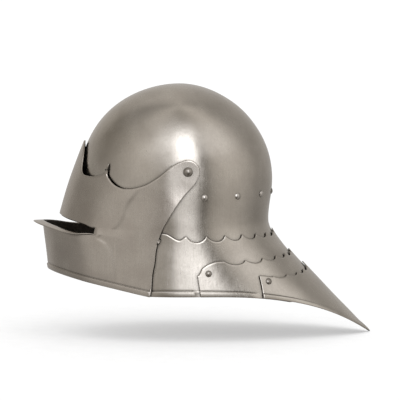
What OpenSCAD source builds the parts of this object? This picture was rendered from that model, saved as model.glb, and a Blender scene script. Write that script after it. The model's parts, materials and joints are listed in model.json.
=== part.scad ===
// Knight's sallet: a round steel skull with a pivoted visor, and a neck guard of three
// overlapping plates that hinge on side rivets. A leather-lined cap and a chin strap sit inside.
// X runs from the face (-) to the tail (+), Y from the wearer's left (-) to the right (+), Z is up.
// The origin is the middle of the head opening, level with the lower rim at the cheeks.

/* [Skull] */
// Half of the skull's outside width, at the ears
skull_half_width = 103; // [100:1:106]
// Height of the crown above the lower rim
crown_height = 275.7; // [270:0.1:280]
// Reach of the skull from its middle to the brow
skull_front = 133; // [130:1:135]
// Reach of the skull from its middle to the back of the head
skull_back = 125; // [123:1:127]
// Height of the skull's front edge, above the eyes
brow_height = 118; // [112:1:124]
// Height of the skull's lower edge, hidden by the first neck plate
skull_hem = 66; // [64:1:68]

/* [Plates] */
// Thickness of every steel plate
plate = 1.5; // [1.2:0.1:1.6]
// Air gap between two plates that overlap
gap = 0.8; // [0.7:0.1:0.9]
// Reach of the tail's point behind the origin
tail_reach = 250.5; // [240:0.5:256]
// Drop of the tail's point below the cheeks
tail_drop = 63.5; // [56:0.5:68]
// Half of the width of the rim, below the ears
rim_half_width = 107; // [105:1:109]

/* [Visor] */
// Height of the visor's pivots
pivot_height = 165; // [162:1:168]
// Distance of the visor's pivots behind the origin
pivot_x = 9.9; // [8:0.1:12]
// Height of the visor's pointed peak
peak_height = 199.3; // [195:0.1:203]
// Reach of the sight's projecting lip, in front of the fold under it
lip_reach = 12; // [8:1:14]
// Radius of the round ear that holds the visor's pivot
ear_radius = 15.5; // [14:0.5:17]

/* [Rivets] */
// Radius of the visor pivots' domed heads
pivot_head_radius = 6.2; // [5.5:0.1:7]
// Radius of the other rivets' domed heads
head_radius = 4.4; // [3.8:0.1:5]
// Radius of a pivot's shank
pivot_shank_radius = 2.5; // [2:0.1:3]
// Radius of every other rivet's shank
shank_radius = 1.6; // [1.4:0.1:1.9]
// Height of the row of lining rivets
lining_rivet_height = 130.5; // [126:0.5:134]

/* [Lining and strap] */
// Thickness of the leather
leather = 2; // [1.6:0.1:2.4]
// Width of the chin strap
strap_width = 18; // [14:1:20]

/* [Hidden] */
$fn = 48;

middle_x = -2;            // X of the skull's widest place
dome_z = 150;             // the skull's sides start to round over here
waist_z = 92;             // the skull's narrowest level, where the neck's flare begins
dome_rise = crown_height - dome_z;
front_roundness = 2.02;   // exponents of the dome's profile: 2 is an ellipse
back_roundness = 1.92;
side_roundness = 2.2;
waist_pull = 5;           // how far the nape pulls in above the flare
skull_keel = 0.08;        // sharpness of the ridge along the skull's middle
tail_keel = 0.3;
rim_curl = 3.1;           // exponent of the rim's fall towards the tail's point
flare_start = 18;         // length over which the flare bends away from the nape
shank_play = 0.05;        // running clearance of a shank in its hole
washer_thickness = 1;
slack = 0.2;              // air beside a rivet's washer and foot
seat = 0.8;               // extra room that lets a flat washer clear the curve it bears on

function smooth(low, high, value) =
    let (t = min(max((value - low) / (high - low), 0), 1)) t * t * (3 - 2 * t);
function mix(a, b, t) = a + (b - a) * t;
function unit(v) = v / norm(v);
function flatten(list) = [for (row = list) for (item = row) item];

// Smooth curve through [position, value] keys, flat where the values turn round
function slope(keys, i) =
    i <= 0 || i >= len(keys) - 1 ? 0 :
    let (
        before = (keys[i][1] - keys[i - 1][1]) / (keys[i][0] - keys[i - 1][0]),
        after = (keys[i + 1][1] - keys[i][1]) / (keys[i + 1][0] - keys[i][0])
    )
    before * after <= 0 ? 0 : 2 * before * after / (before + after);
function key_index(keys, at, i = 0) =
    i >= len(keys) - 2 || at < keys[i + 1][0] ? i : key_index(keys, at, i + 1);
function curve(keys, at) =
    at <= keys[0][0] ? keys[0][1] :
    at >= keys[len(keys) - 1][0] ? keys[len(keys) - 1][1] :
    let (
        i = key_index(keys, at),
        span = keys[i + 1][0] - keys[i][0],
        t = (at - keys[i][0]) / span,
        s = t * t * (3 - 2 * t)
    )
    mix(keys[i][1], keys[i + 1][1], s)
        + span * (t * (1 - t) * (1 - t) * slope(keys, i) - t * t * (1 - t) * slope(keys, i + 1));

// ---- The form that the skull and the neck plates share ----
// turn is 0 at the brow, 90 at the left ear, 180 at the nape and 270 at the right ear.
// level runs down from 0 at the crown: 1 at dome_z, 2 at waist_z and 3 at the rim.

function dome_scale(rise, roundness) =
    pow(max(1 - pow(rise, roundness), 0), 1 / roundness);

function skull_point(turn, level) =
    let (
        to_front = cos(turn) > 0,
        rise = level < 1 ? cos(90 * level) : 0,
        z = level < 1 ? dome_z + dome_rise * rise : mix(dome_z, waist_z, level - 1),
        pull = level < 1 ? 0 : waist_pull * pow(sin(90 * min(level - 1, 1)), 2),
        reach = to_front ? skull_front * dome_scale(rise, front_roundness)
            : (skull_back - pull) * dome_scale(rise, back_roundness),
        half_width = skull_half_width * dome_scale(rise, side_roundness),
        side = abs(sin(turn)),
        along = (1 - skull_keel) * abs(cos(turn)) + skull_keel * (1 - side)
    )
    [middle_x + (to_front ? -1 : 1) * reach * along, -half_width * sin(turn), z];

function rim_drop(x) = tail_drop * pow(max(x, 0) / tail_reach, rim_curl);

function rim_point(turn) =
    let (
        to_front = cos(turn) > 0,
        keel = to_front ? skull_keel : tail_keel,
        reach = to_front ? skull_front : tail_reach - middle_x,
        along = (1 - keel) * abs(cos(turn)) + keel * (1 - abs(sin(turn))),
        x = middle_x + (to_front ? -1 : 1) * reach * along
    )
    [x, -rim_half_width * sin(turn), -rim_drop(x)];

function flare(height) = height - flare_start * (1 - exp(-height / flare_start));

function neck_point(turn, level) =
    let (
        top = skull_point(turn, 2),
        bottom = rim_point(turn),
        fall = top.z - bottom.z,
        down = (level - 2) * fall,
        out = flare(down) / flare(fall)
    )
    [mix(top.x, bottom.x, out), mix(top.y, bottom.y, out), top.z - down];

function form_point(turn, level) =
    level <= 2 ? skull_point(turn, level) : neck_point(turn, level);

function form_normal(turn, level) =
    let (turn_step = 0.5, level_step = 0.01)
    level < level_step ? [0, 0, 1] :
    unit(cross(
        form_point(turn, level + level_step) - form_point(turn, level - level_step),
        form_point(turn + turn_step, level) - form_point(turn - turn_step, level)
    ));

function form_offset(turn, level, out) = form_point(turn, level) + out * form_normal(turn, level);

// Level of a height on the form
function level_of(turn, z) =
    z > waist_z ? 1 + (dome_z - z) / (dome_z - waist_z)
        : 2 + (waist_z - z) / (waist_z - rim_point(turn).z);

// Distance round from the nape, the same on both sides
function from_nape(turn) = abs(turn - 180);

// ---- Shells made of a grid of points, outer face and inner face ----
// Rows run down and columns run from the brow past the left ear. hole is a block of missing
// cells, [first row, last row, first column, last column]. A crowned shell's first row is a point.
module shell(outer, inner, closed = false, crowned = false, hole = [0, -1, 0, -1]) {
    rows = len(outer);
    columns = len(outer[0]);
    count = rows * columns;
    function id(r, c) = crowned && r == 0 ? 0 : r * columns + (closed ? (c + columns) % columns : c);
    function in_hole(r, c) = r >= hole[0] && r <= hole[1] && c >= hole[2] && c <= hole[3];
    function solid(r, c) =
        r >= 0 && r < rows - 1 && (closed || (c >= 0 && c < columns - 1)) && !in_hole(r, c);
    function wall(a, b) = [[b, a, a + count], [b, a + count, b + count]];
    last_column = closed ? columns - 1 : columns - 2;
    faces = [
        for (r = [0:rows - 2])
            for (c = [0:last_column])
                if (solid(r, c))
                    let (
                        a = id(r, c),
                        b = id(r, c + 1),
                        d = id(r + 1, c),
                        e = id(r + 1, c + 1)
                    )
                    each concat(
                        a == b ? [] : [[a, b, e], [a + count, e + count, b + count]],
                        [[a, e, d], [a + count, d + count, e + count]],
                        solid(r - 1, c) || (crowned && r == 0) ? [] : wall(a, b),
                        solid(r, c + 1) ? [] : wall(b, e),
                        solid(r + 1, c) ? [] : wall(e, d),
                        solid(r, c - 1) ? [] : wall(d, a)
                    )
    ];
    polyhedron(points = concat(flatten(outer), flatten(inner)), faces = faces, convexity = 6);
}

// A patch of the form between two edges, out_face and in_face away from the skull's outside
module form_patch(turns, top_level, bottom_level, rows, out_face, in_face) {
    function face(out) = [
        for (r = [0:rows])
            [for (i = [0:len(turns) - 1])
                form_offset(turns[i], mix(top_level[i], bottom_level[i], r / rows), out)]
    ];
    shell(face(out_face), face(in_face));
}

// ---- Rivets ----
// A rivet's own frame: the head sits on z = 0 and the shank points down
module rivet(head, rise, shank, grip) {
    ball = (head * head + rise * rise) / (2 * rise);
    foot = 0.8;
    intersection() {
        translate([0, 0, rise - ball]) sphere(r = ball, $fn = 64);
        cylinder(r = head + 1, h = rise + 1);
    }
    translate([0, 0, -grip - foot]) cylinder(r = shank, h = grip + foot + 0.2);
    translate([0, 0, -grip - foot]) cylinder(r = shank * 1.5, h = foot);
}

module washer(radius, hole) {
    difference() {
        cylinder(r = radius, h = washer_thickness);
        translate([0, 0, -1]) cylinder(r = hole + 0.1, h = washer_thickness + 2);
    }
}

// Puts a child on the form at turn and level, out_by away from the skull's outside, z outwards
module on_form(turn, level, out_by) {
    n = form_normal(turn, level);
    translate(form_offset(turn, level, out_by))
        rotate([0, acos(n.z), atan2(n.y, n.x)])
            children();
}

module both_sides() {
    children();
    mirror([0, 1, 0]) children();
}

// Drills a hole through the form at turn and level
module form_hole(turn, level, radius) {
    on_form(turn, level, -12) cylinder(r = radius, h = 24);
}

// ---- Scalloped edges ----
// Height of an edge of hollow scallops. The point at the nape stands half a scallop from its
// neighbours and rises by tip.
function scallop_edge(away, pitch, cusp_z, depth, tip) =
    let (
        inner = away < pitch / 2,
        along = inner ? away / (pitch / 2) : (away - pitch / 2) / pitch,
        swing = 2 * (along - floor(along + 0.0001)) - 1
    )
    cusp_z - (inner ? 0.55 : 1) * depth * pow(max(1 - swing * swing, 0), 0.8)
        + tip * max(1 - away / 3, 0);

// ---- Skull ----
function skull_hem_z(turn) =
    mix(brow_height, skull_hem, smooth(54, 72, 180 - from_nape(turn)));

module skull_shell() {
    turns = [for (turn = [0:5:355]) turn];
    dome_rows = 14;
    side_rows = 3;
    hem_rows = 4;
    // The last rows are close together, to follow the start of the flare
    function level(turn, r) =
        let (
            hem = level_of(turn, skull_hem_z(turn)),
            split = min(2, mix(1, hem, 0.86)),
            below = r - dome_rows
        )
        below <= 0 ? r / dome_rows
            : below <= side_rows ? mix(1, split, below / side_rows)
            : mix(split, hem, (below - side_rows) / hem_rows);
    function face(out) =
        [for (r = [0:dome_rows + side_rows + hem_rows])
            [for (turn = turns) form_offset(turn, level(turn, r), out)]];
    shell(face(0), face(-plate), closed = true, crowned = true);
}

lining_turns = [for (k = [-3:3]) 180 + 24.3 * k];   // the lining rivets, at even steps round the nape
brow_turns = [-42, -14, 14, 42];                    // four more, behind the visor
lame_1_pivot = [73, level_of(73, 70)];              // turn and level of each pivot
lame_2_pivot = [104.2, level_of(104.2, 30.3)];
tail_pivot = [130.6, level_of(130.6, 16.1)];
strap_turn = 74;
strap_rivet_level = level_of(strap_turn, 96);

module skull() {
    color("#a9a49c")
    difference() {
        skull_shell();
        translate([pivot_x, 0, pivot_height])
            rotate([90, 0, 0])
                cylinder(r = pivot_shank_radius + shank_play, h = 2 * skull_half_width + 20, center = true);
        for (turn = concat(lining_turns, brow_turns))
            form_hole(turn, level_of(turn, lining_rivet_height), shank_radius + shank_play);
        both_sides() {
            form_hole(lame_1_pivot.x, lame_1_pivot.y, shank_radius + 0.3);
            form_hole(strap_turn, strap_rivet_level, shank_radius + shank_play);
        }
    }
}

// ---- Neck plates, each outside the one above it ----
step = plate + gap;       // each plate stands this much further out than the last

function pick(turns, edge) = [for (turn = turns) edge(turn)];

module lame_1() {
    pitch = 13.1;
    turns = [for (i = [-52:52]) 180 + i * pitch / 6];
    hidden_edge = [[85.15, 79.4], [89.5, 74.4], [98.5, 83], [104, 84]];
    function top(turn) =
        let (away = from_nape(turn))
        level_of(turn, away > 85.15 ? curve(hidden_edge, away)
            : scallop_edge(away, pitch, 76.3 + 3.3 * smooth(0, 60, away), 4.5 + 3.9 * sin(away), 3.5));
    function bottom(turn) = mix(level_of(turn, 30), 3, smooth(60, 74, from_nape(turn)));
    color("#b1aca4")
    difference() {
        form_patch(turns, pick(turns, function (t) top(t)), pick(turns, function (t) bottom(t)),
            7, step, gap);
        both_sides() {
            form_hole(lame_1_pivot.x, lame_1_pivot.y, shank_radius + shank_play);
            form_hole(lame_2_pivot.x, lame_2_pivot.y, shank_radius + 0.3);
        }
    }
}

module lame_2() {
    pitch = 12;
    half_span = 81;
    turns = concat([180 - half_span], [for (turn = [100:2:260]) turn], [180 + half_span]);
    corner = [[69.5, 45.5], [74, 43], [78, 37.5], [half_span, 28]];
    function top(turn) =
        let (away = from_nape(turn))
        level_of(turn, away > 66 ? min(curve(corner, away), 45.6)
            : scallop_edge(away, pitch, 47.7 - 2.2 * smooth(10, 60, away), 4.2 + 1.4 * sin(away), 2.5));
    function bottom(turn) = mix(level_of(turn, 8), 3, smooth(34, 46, from_nape(turn)));
    color("#b5b0a8")
    difference() {
        form_patch(turns, pick(turns, function (t) top(t)), pick(turns, function (t) bottom(t)),
            7, 2 * step, step + gap);
        both_sides() {
            form_hole(lame_2_pivot.x, lame_2_pivot.y, shank_radius + shank_play);
            form_hole(tail_pivot.x, tail_pivot.y, shank_radius + 0.3);
        }
    }
}

module tail_plate() {
    pitch = 10;
    half_span = 52;
    lean = 4.5;           // how far the front edge runs forward on its way down
    rows = 12;
    turns = concat([180 - half_span], [for (turn = [130:2.5:230]) turn], [180 + half_span]);
    function top_z(away) = away > 45 ? mix(21, 24, smooth(45, half_span, away))
        : scallop_edge(away, pitch, 25 - 3 * smooth(5, 30, away), 3.4, 6);
    function turn_at(turn, r) =
        turn + sign(turn - 180) * lean * smooth(28, half_span, from_nape(turn)) * r / rows;
    function face(out) = [
        for (r = [0:rows])
            [for (turn = turns)
                let (
                    here = turn_at(turn, r),
                    level = mix(level_of(here, top_z(from_nape(turn))), 3, r / rows)
                )
                form_offset(here, level, out)]
    ];
    color("#b9b4ac")
    difference() {
        shell(face(3 * step), face(2 * step + gap));
        both_sides() form_hole(tail_pivot.x, tail_pivot.y, shank_radius + shank_play);
    }
}

// ---- Visor ----
// turn is 0 on the ridge at the front, 90 at the left ear and -90 at the right ear
visor_keel = 0.15;
side_reach = 150;         // the reach that the cheeks' plan has, whatever the height
lip_turn = 45;            // the sight ends here on each side
rim_front_z = 26.5;       // height of the rim's front point
rim_back_x = -41;         // the rim is level behind this
ear_flat = 105.2;         // the ears stand this far from the middle, in flat discs
fold_keys = [[0, 90], [10, 88.5], [21.5, 85], [28, 82.3], [36.5, 79.8], [lip_turn, 79]];
brow_edge_keys = [[0, 100.4], [10.4, 98.2], [19.2, 96], [26, 94.4], [32.3, 92.8], [lip_turn, 88.5]];
top_keys = [
    [0, peak_height], [3, peak_height - 3.5], [8, 189], [11, 182], [14.6, 169.5], [18, 160.5], [22, 156],
    [30, 154.8], [36, 155.8], [42, 161], [42.6, 173.5], [43.2, 160], [46, 152.6], [49.5, 146.8],
    [53, 143.2], [57, 141.3], [61, 141.6], [69, 145.8], [78, 157.5], [87, 173.5], [92, 178.5], [96, 180]
];
rear_keys = [
    [-39.4, 0], [-38.6, 17], [-37.4, 30], [-34.5, 45], [-33, 60], [-30, 72], [-27, 82],
    [-22.3, 92.6], [2.7, 131.6], [20, 151.4], [25, 161.5]
];

// The visor's ridge: the part below the sight stands forward of the part above it
function visor_front_x(turn, z) =
    let (
        lower = -180 - 5.8 * (z - 30) / 51.7,
        upper = -164.4 + 34 * (z - 100.4) / 98.9 - 2 * sin(180 * min(max((z - 100.4) / 98.9, 0), 1))
    )
    mix(lower, upper, smooth(curve(fold_keys, turn) + 0.5, curve(brow_edge_keys, turn) - 0.5, z));

function visor_half_width(z) = z < pivot_height ? 105 + 7.5 * (pivot_height - z) / pivot_height
    : skull_half_width * dome_scale((z - dome_z) / dome_rise, side_roundness) + 2.73;

function visor_point(turn, z) =
    let (
        away = abs(turn),
        keel_along = (1 - visor_keel) * cos(away) + visor_keel * (1 - sin(away)),
        reach = mix(middle_x - visor_front_x(away, z), side_reach, smooth(38, 70, away)),
        x = away < 90 ? middle_x - reach * keel_along : middle_x - skull_back * cos(away),
        from_pivot = norm([x - pivot_x, z - pivot_height]),
        y = mix(visor_half_width(z) * sin(away), ear_flat, smooth(30, ear_radius + 1, from_pivot))
    )
    [x, -sign(turn) * y, z];

// Turn of a place on the cheeks or ears
function visor_turn(x) =
    x > middle_x ? 90 + asin((x - middle_x) / skull_back) :
    let (size = norm([1 - visor_keel, visor_keel]))
    acos(((middle_x - x) / side_reach - visor_keel) / size) - atan2(visor_keel, 1 - visor_keel);

function visor_bottom(turn) =
    let (x = visor_point(turn, 20).x)
    x > -39.4 ? curve(rear_keys, x) : rim_front_z * max(rim_back_x - x, 0) / (180 + rim_back_x);

function visor_top(turn) =
    let (
        away = abs(turn),
        x = visor_point(turn, pivot_height).x,
        ear = away < 85 ? 0
            : pivot_height + sqrt(max(ear_radius * ear_radius - (x - pivot_x) * (x - pivot_x), 0)),
        edge = curve(top_keys, away)
    )
    x > pivot_x ? ear : max(edge, ear);

function grid_normal(grid, r, c) =
    let (
        up = grid[max(r - 1, 0)][c],
        down = grid[min(r + 1, len(grid) - 1)][c],
        before = grid[r][max(c - 1, 0)],
        after = grid[r][min(c + 1, len(grid[0]) - 1)]
    )
    unit(cross(down - up, after - before));

function grid_inner(grid, thickness) = [
    for (r = [0:len(grid) - 1])
        [for (c = [0:len(grid[0]) - 1]) grid[r][c] - thickness * grid_normal(grid, r, c)]
];

module visor_shell() {
    rear_x = [-38.6, -37.4, -34.5, -33, -30, -27, -22.3, -14, -6, 2.7, 10, 15, 20, 23, 25];
    left = concat([for (turn = [3:3:42]) turn], [42.6, 43.2, lip_turn], [for (turn = [48:3:72]) turn],
        [for (x = rear_x) visor_turn(x)]);
    turns = concat([for (i = [len(left) - 1:-1:0]) -left[i]], [0], left);
    upper_rows = 8;
    lower_rows = 8;
    // A line that follows one edge of the sight and then runs back over the cheek
    function line(turn, keys, share) =
        mix(curve(keys, abs(turn)), mix(visor_bottom(turn), visor_top(turn), share),
            smooth(lip_turn, 72, abs(turn)));
    function brow(turn) = line(turn, brow_edge_keys, 0.55);
    function fold(turn) = line(turn, fold_keys, 0.45);
    function lip_point(turn, share) =
        let (
            away = abs(turn),
            reach = lip_reach * max(cos(2 * away), 0) * share,
            dip = (1 + 2.5 * sin(min(4 * away, 180))) * share,
            rise = mix(-dip, share * min(1.4, (brow(turn) - fold(turn)) / 2), smooth(36, lip_turn, away)),
            base = visor_point(turn, fold(turn) + (away < lip_turn ? 0 : rise)),
            next = visor_point(turn + 1, base.z) - visor_point(turn - 1, base.z)
        )
        base + reach * unit([next.y, -next.x, 0]) + [0, 0, away < lip_turn ? rise : 0];
    upper = [
        for (r = [0:upper_rows])
            [for (turn = turns) visor_point(turn, mix(visor_top(turn), brow(turn), r / upper_rows))]
    ];
    lower = concat(
        [for (share = [1, 0.5]) [for (turn = turns) lip_point(turn, share)]],
        [for (r = [0:lower_rows])
            [for (turn = turns) visor_point(turn, mix(fold(turn), visor_bottom(turn), r / lower_rows))]]
    );
    first = [for (i = [0:len(turns) - 1]) if (turns[i] == -lip_turn) i][0];
    last = [for (i = [0:len(turns) - 1]) if (turns[i] == lip_turn) i][0];
    shell(concat(upper, lower), concat(grid_inner(upper, plate), grid_inner(lower, plate)),
        hole = [upper_rows, upper_rows, first, last - 1]);
}

module visor() {
    color("#8f897f")
    difference() {
        visor_shell();
        translate([pivot_x, 0, pivot_height])
            rotate([90, 0, 0])
                cylinder(r = pivot_shank_radius + shank_play, h = 2 * ear_flat + 20, center = true);
    }
}

// ---- Pivots and rivets of the steel ----
module visor_pivot_rivets() {
    color("#8a847a")
    both_sides()
        translate([pivot_x, -ear_flat - 0.2, pivot_height])
            rotate([90, 0, 0])
                rivet(pivot_head_radius, 3.4, pivot_shank_radius, 7.4);
}

module visor_pivot_washers() {
    inside = skull_half_width * dome_scale((pivot_height - dome_z) / dome_rise, side_roundness)
        - plate - 2 * seat - slack;
    color("#77716a")
    both_sides()
        translate([pivot_x, washer_thickness - inside, pivot_height])
            rotate([90, 0, 0])
                washer(7, pivot_shank_radius);
}

// Rivets through two plates: out_by is the outer plate's outside, rise the head's height
module plate_rivets(pivot, out_by, rise) {
    color("#8a847a")
    both_sides()
        on_form(pivot.x, pivot.y, out_by + 0.1)
            rivet(head_radius, rise, shank_radius, 2 * plate + gap + washer_thickness + seat + slack);
}

module plate_washers(pivot, out_by) {
    color("#77716a")
    both_sides()
        on_form(pivot.x, pivot.y, out_by - 2 * plate - gap - seat - washer_thickness)
            washer(4.5, shank_radius);
}

module lame_1_rivets() { plate_rivets(lame_1_pivot, step, 1.2); }
module lame_1_washers() { plate_washers(lame_1_pivot, step); }
module lame_2_rivets() { plate_rivets(lame_2_pivot, 2 * step, 2.2); }
module lame_2_washers() { plate_washers(lame_2_pivot, 2 * step); }
module tail_rivets() { plate_rivets(tail_pivot, 3 * step, 2.2); }
module tail_washers() { plate_washers(tail_pivot, 3 * step); }

// ---- Lining ----
band_out = -plate - 0.4;
band_in = band_out - leather;

module on_lining_rivets(out_by) {
    for (turn = concat(lining_turns, brow_turns))
        on_form(turn, level_of(turn, lining_rivet_height), out_by) children();
}

module lining_rivets() {
    color("#b8b3aa")
    on_lining_rivets(0.1)
        rivet(head_radius, 2, shank_radius, 0.1 - band_in + seat + slack + washer_thickness);
}

module lining_rivet_washers() {
    color("#77716a")
    on_lining_rivets(band_in - seat - washer_thickness) washer(4, shank_radius);
}

// A ring or cap of soft stuff inside the skull
module lining_ring(top_z, bottom_z, out_face, in_face) {
    turns = [for (turn = [0:7.5:352.5]) turn];
    function face(out) = [
        for (z = [top_z, (top_z + bottom_z) / 2, bottom_z])
            [for (turn = turns) form_offset(turn, level_of(turn, z), out)]
    ];
    shell(face(out_face), face(in_face), closed = true);
}

module lining_band() {
    color("#5b3b22")
    difference() {
        lining_ring(lining_rivet_height + 10, lining_rivet_height - 10, band_out, band_in);
        for (turn = concat(lining_turns, brow_turns))
            form_hole(turn, level_of(turn, lining_rivet_height), shank_radius + 0.1);
    }
}

cap_out = -8;             // the cap hangs clear of the lining rivets' ends
cap_in = -12;

module liner_cap() {
    turns = [for (turn = [0:10:350]) turn];
    rows = 11;
    lowest = 1.45;
    function face(out) = [
        for (r = [0:rows]) [for (turn = turns) form_offset(turn, lowest * r / rows, out)]
    ];
    color("#7a5534") shell(face(cap_out), face(cap_in), closed = true, crowned = true);
}

module liner_lace() {
    color("#c9b48c")
    translate([middle_x, 0, crown_height + cap_in - 5])
        rotate_extrude() translate([22, 0]) circle(r = 1.4, $fn = 24);
}

// ---- Chin strap: a U of leather from side to side, under the chin ----
strap_x = skull_point(strap_turn, strap_rivet_level).x;
strap_y = 94;             // how far from the middle the straps' outer faces hang
strap_top = 104;
strap_washer_at = 8.1;    // depth of the strap's washers, which clear the strap's slant
chin_z = 12;              // the strap's lowest point, above the rim
bar_y = 22;               // the buckle's hinge bar
front_bar_y = 5;
bar_radius = 1.5;

function strap_path(y) = chin_z + (strap_top - 16 - chin_z) * pow(abs(y) / (strap_y - 1), 8);

// A ribbon from y = from to y = to, from low to low + leather above the strap's path
module ribbon(from, to, low) {
    steps = 30;
    lower = [for (i = [0:steps]) let (y = mix(from, to, i / steps)) [y, strap_path(y) + low(y)]];
    slope_at = [for (i = [0:steps])
        unit(lower[min(i + 1, steps)] - lower[max(i - 1, 0)])];
    upper = [for (i = [0:steps]) lower[i] + leather * [-slope_at[i].y, slope_at[i].x]];
    strap_prism() polygon(concat(lower, [for (i = [steps:-1:0]) upper[i]]));
}

// A shape drawn in Y and Z becomes as wide as the strap
module strap_prism() {
    translate([strap_x - strap_width / 2, 0, 0])
        rotate([90, 0, 90])
            linear_extrude(strap_width) children();
}

module strap_end() {
    strap_prism() translate([-strap_y, strap_top - 22]) square([leather, 22]);
}

module strap_end_hole() {
    form_hole(strap_turn, strap_rivet_level, shank_radius + 0.3);
}

module chin_strap_left() {
    dip = 5.9;
    color("#5b3b22")
    difference() {
        union() {
            ribbon(-strap_y + 1.2, 60, function (y)
                mix(2.2, mix(-dip, -leather - 0.4, smooth(28, 40, y)), smooth(6.5, 18.5, y)));
            strap_end();
        }
        strap_end_hole();
        // slot for the buckle's tongue
        translate([strap_x - 2.2, 9, -5]) cube([4.4, 14.5, 30]);
    }
}

module chin_strap_right() {
    loop = bar_radius + slack;
    color("#5b3b22")
    difference() {
        union() {
            mirror([0, 1, 0]) ribbon(-strap_y + 1.2, -bar_y - 1, function (y) 0);
            mirror([0, 1, 0]) strap_end();
            translate([strap_x, bar_y, chin_z]) rotate([0, 90, 0])
                cylinder(r = loop + leather, h = strap_width, center = true);
        }
        translate([strap_x, bar_y, chin_z]) rotate([0, 90, 0])
            cylinder(r = loop, h = strap_width + 2, center = true);
        // gap for the tongue's eye
        translate([strap_x - 3, bar_y - 9, chin_z - 6]) cube([6, 14, 12]);
        mirror([0, 1, 0]) strap_end_hole();
    }
}

module strap_rivets() {
    color("#8a847a")
    both_sides()
        on_form(strap_turn, strap_rivet_level, 0.1)
            rivet(3.6, 1, shank_radius, strap_washer_at + washer_thickness + slack);
}

module strap_washers() {
    color("#77716a")
    both_sides()
        on_form(strap_turn, strap_rivet_level, -strap_washer_at - washer_thickness)
            washer(3.6, shank_radius);
}

module buckle_frame() {
    width = strap_width + 5;
    side = [strap_x - width / 2, strap_x + width / 2];
    color("#a9904f")
    union() {
        for (y = [front_bar_y, bar_y])
            translate([side[0], y, chin_z]) rotate([0, 90, 0]) cylinder(r = bar_radius, h = width);
        for (x = side) {
            translate([x, front_bar_y, chin_z]) rotate([-90, 0, 0])
                cylinder(r = bar_radius, h = bar_y - front_bar_y);
            for (y = [front_bar_y, bar_y])
                translate([x, y, chin_z]) sphere(r = bar_radius);
        }
    }
}

module buckle_tongue() {
    eye = bar_radius + 0.06;
    pin_radius = 0.9;
    pin_z = chin_z - bar_radius - pin_radius - 0.15;
    color("#a9904f")
    difference() {
        union() {
            translate([strap_x, bar_y, chin_z]) rotate([0, 90, 0])
                cylinder(r = eye + 1.2, h = 3.6, center = true);
            translate([strap_x, bar_y - 0.5, pin_z]) rotate([90, 0, 0])
                cylinder(r = pin_radius, h = bar_y - front_bar_y + 1.5);
        }
        translate([strap_x, bar_y, chin_z]) rotate([0, 90, 0])
            cylinder(r = eye, h = 8, center = true);
    }
}

module strap_keeper() {
    wall = 1.5;
    keeper_y = 48;
    inner = [strap_width + 0.8, 7, 2 * leather + 1.6];
    color("#4a2f1b")
    translate([strap_x, keeper_y, strap_path(keeper_y) - 0.2])
        difference() {
            cube(inner + [2 * wall, 0, 2 * wall], center = true);
            cube(inner + [0, 2, 0], center = true);
        }
}

skull();
visor();
lame_1();
lame_2();
tail_plate();
visor_pivot_rivets();
visor_pivot_washers();
lame_1_rivets();
lame_1_washers();
lame_2_rivets();
lame_2_washers();
tail_rivets();
tail_washers();
lining_rivets();
lining_rivet_washers();
lining_band();
liner_cap();
liner_lace();
chin_strap_left();
chin_strap_right();
strap_rivets();
strap_washers();
buckle_frame();
buckle_tongue();
strap_keeper();
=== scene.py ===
import json
import math

import bmesh
import bpy
import numpy as np
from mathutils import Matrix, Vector


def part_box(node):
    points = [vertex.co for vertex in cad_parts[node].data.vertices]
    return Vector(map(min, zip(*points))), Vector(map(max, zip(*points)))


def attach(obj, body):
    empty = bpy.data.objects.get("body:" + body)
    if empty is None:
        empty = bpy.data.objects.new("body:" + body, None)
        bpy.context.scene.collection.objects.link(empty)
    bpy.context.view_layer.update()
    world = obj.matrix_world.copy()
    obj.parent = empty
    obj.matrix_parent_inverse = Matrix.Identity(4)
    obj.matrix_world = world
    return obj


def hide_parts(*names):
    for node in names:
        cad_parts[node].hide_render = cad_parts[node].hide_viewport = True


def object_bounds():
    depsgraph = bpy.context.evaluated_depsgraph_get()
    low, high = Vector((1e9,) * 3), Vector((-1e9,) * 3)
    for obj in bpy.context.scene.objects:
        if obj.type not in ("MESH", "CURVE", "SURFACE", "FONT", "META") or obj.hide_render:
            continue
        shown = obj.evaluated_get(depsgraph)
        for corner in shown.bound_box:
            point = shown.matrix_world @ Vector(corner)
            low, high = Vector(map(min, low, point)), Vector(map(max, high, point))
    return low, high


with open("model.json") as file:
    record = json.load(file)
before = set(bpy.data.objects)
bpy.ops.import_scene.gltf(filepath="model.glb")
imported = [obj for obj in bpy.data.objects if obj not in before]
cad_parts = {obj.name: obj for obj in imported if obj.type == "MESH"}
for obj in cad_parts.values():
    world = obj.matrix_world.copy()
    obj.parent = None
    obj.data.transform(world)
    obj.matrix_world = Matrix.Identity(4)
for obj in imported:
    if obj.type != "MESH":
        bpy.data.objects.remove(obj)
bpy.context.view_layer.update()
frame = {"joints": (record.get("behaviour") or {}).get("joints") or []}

MM = 1000.0                       # millimetres in a metre: shapes are worked out in millimetres


# ---------------------------------------------------------------- sizes taken from the frame
def box_mm(node):
    """Lowest and highest corner of a CAD node, in millimetres."""
    low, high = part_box(node)
    return np.array(low) * MM, np.array(high) * MM


JOINTS = {joint["name"]: joint for joint in frame["joints"]}
PIVOT_X, _, PIVOT_Z = [MM * value for value in JOINTS["visor_hinge"]["pos_m"]]
SKULL_LOW, SKULL_HIGH = box_mm("skull")
_, VISOR_HIGH = box_mm("visor")
TAIL_LOW, TAIL_HIGH = box_mm("tail_plate")

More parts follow.
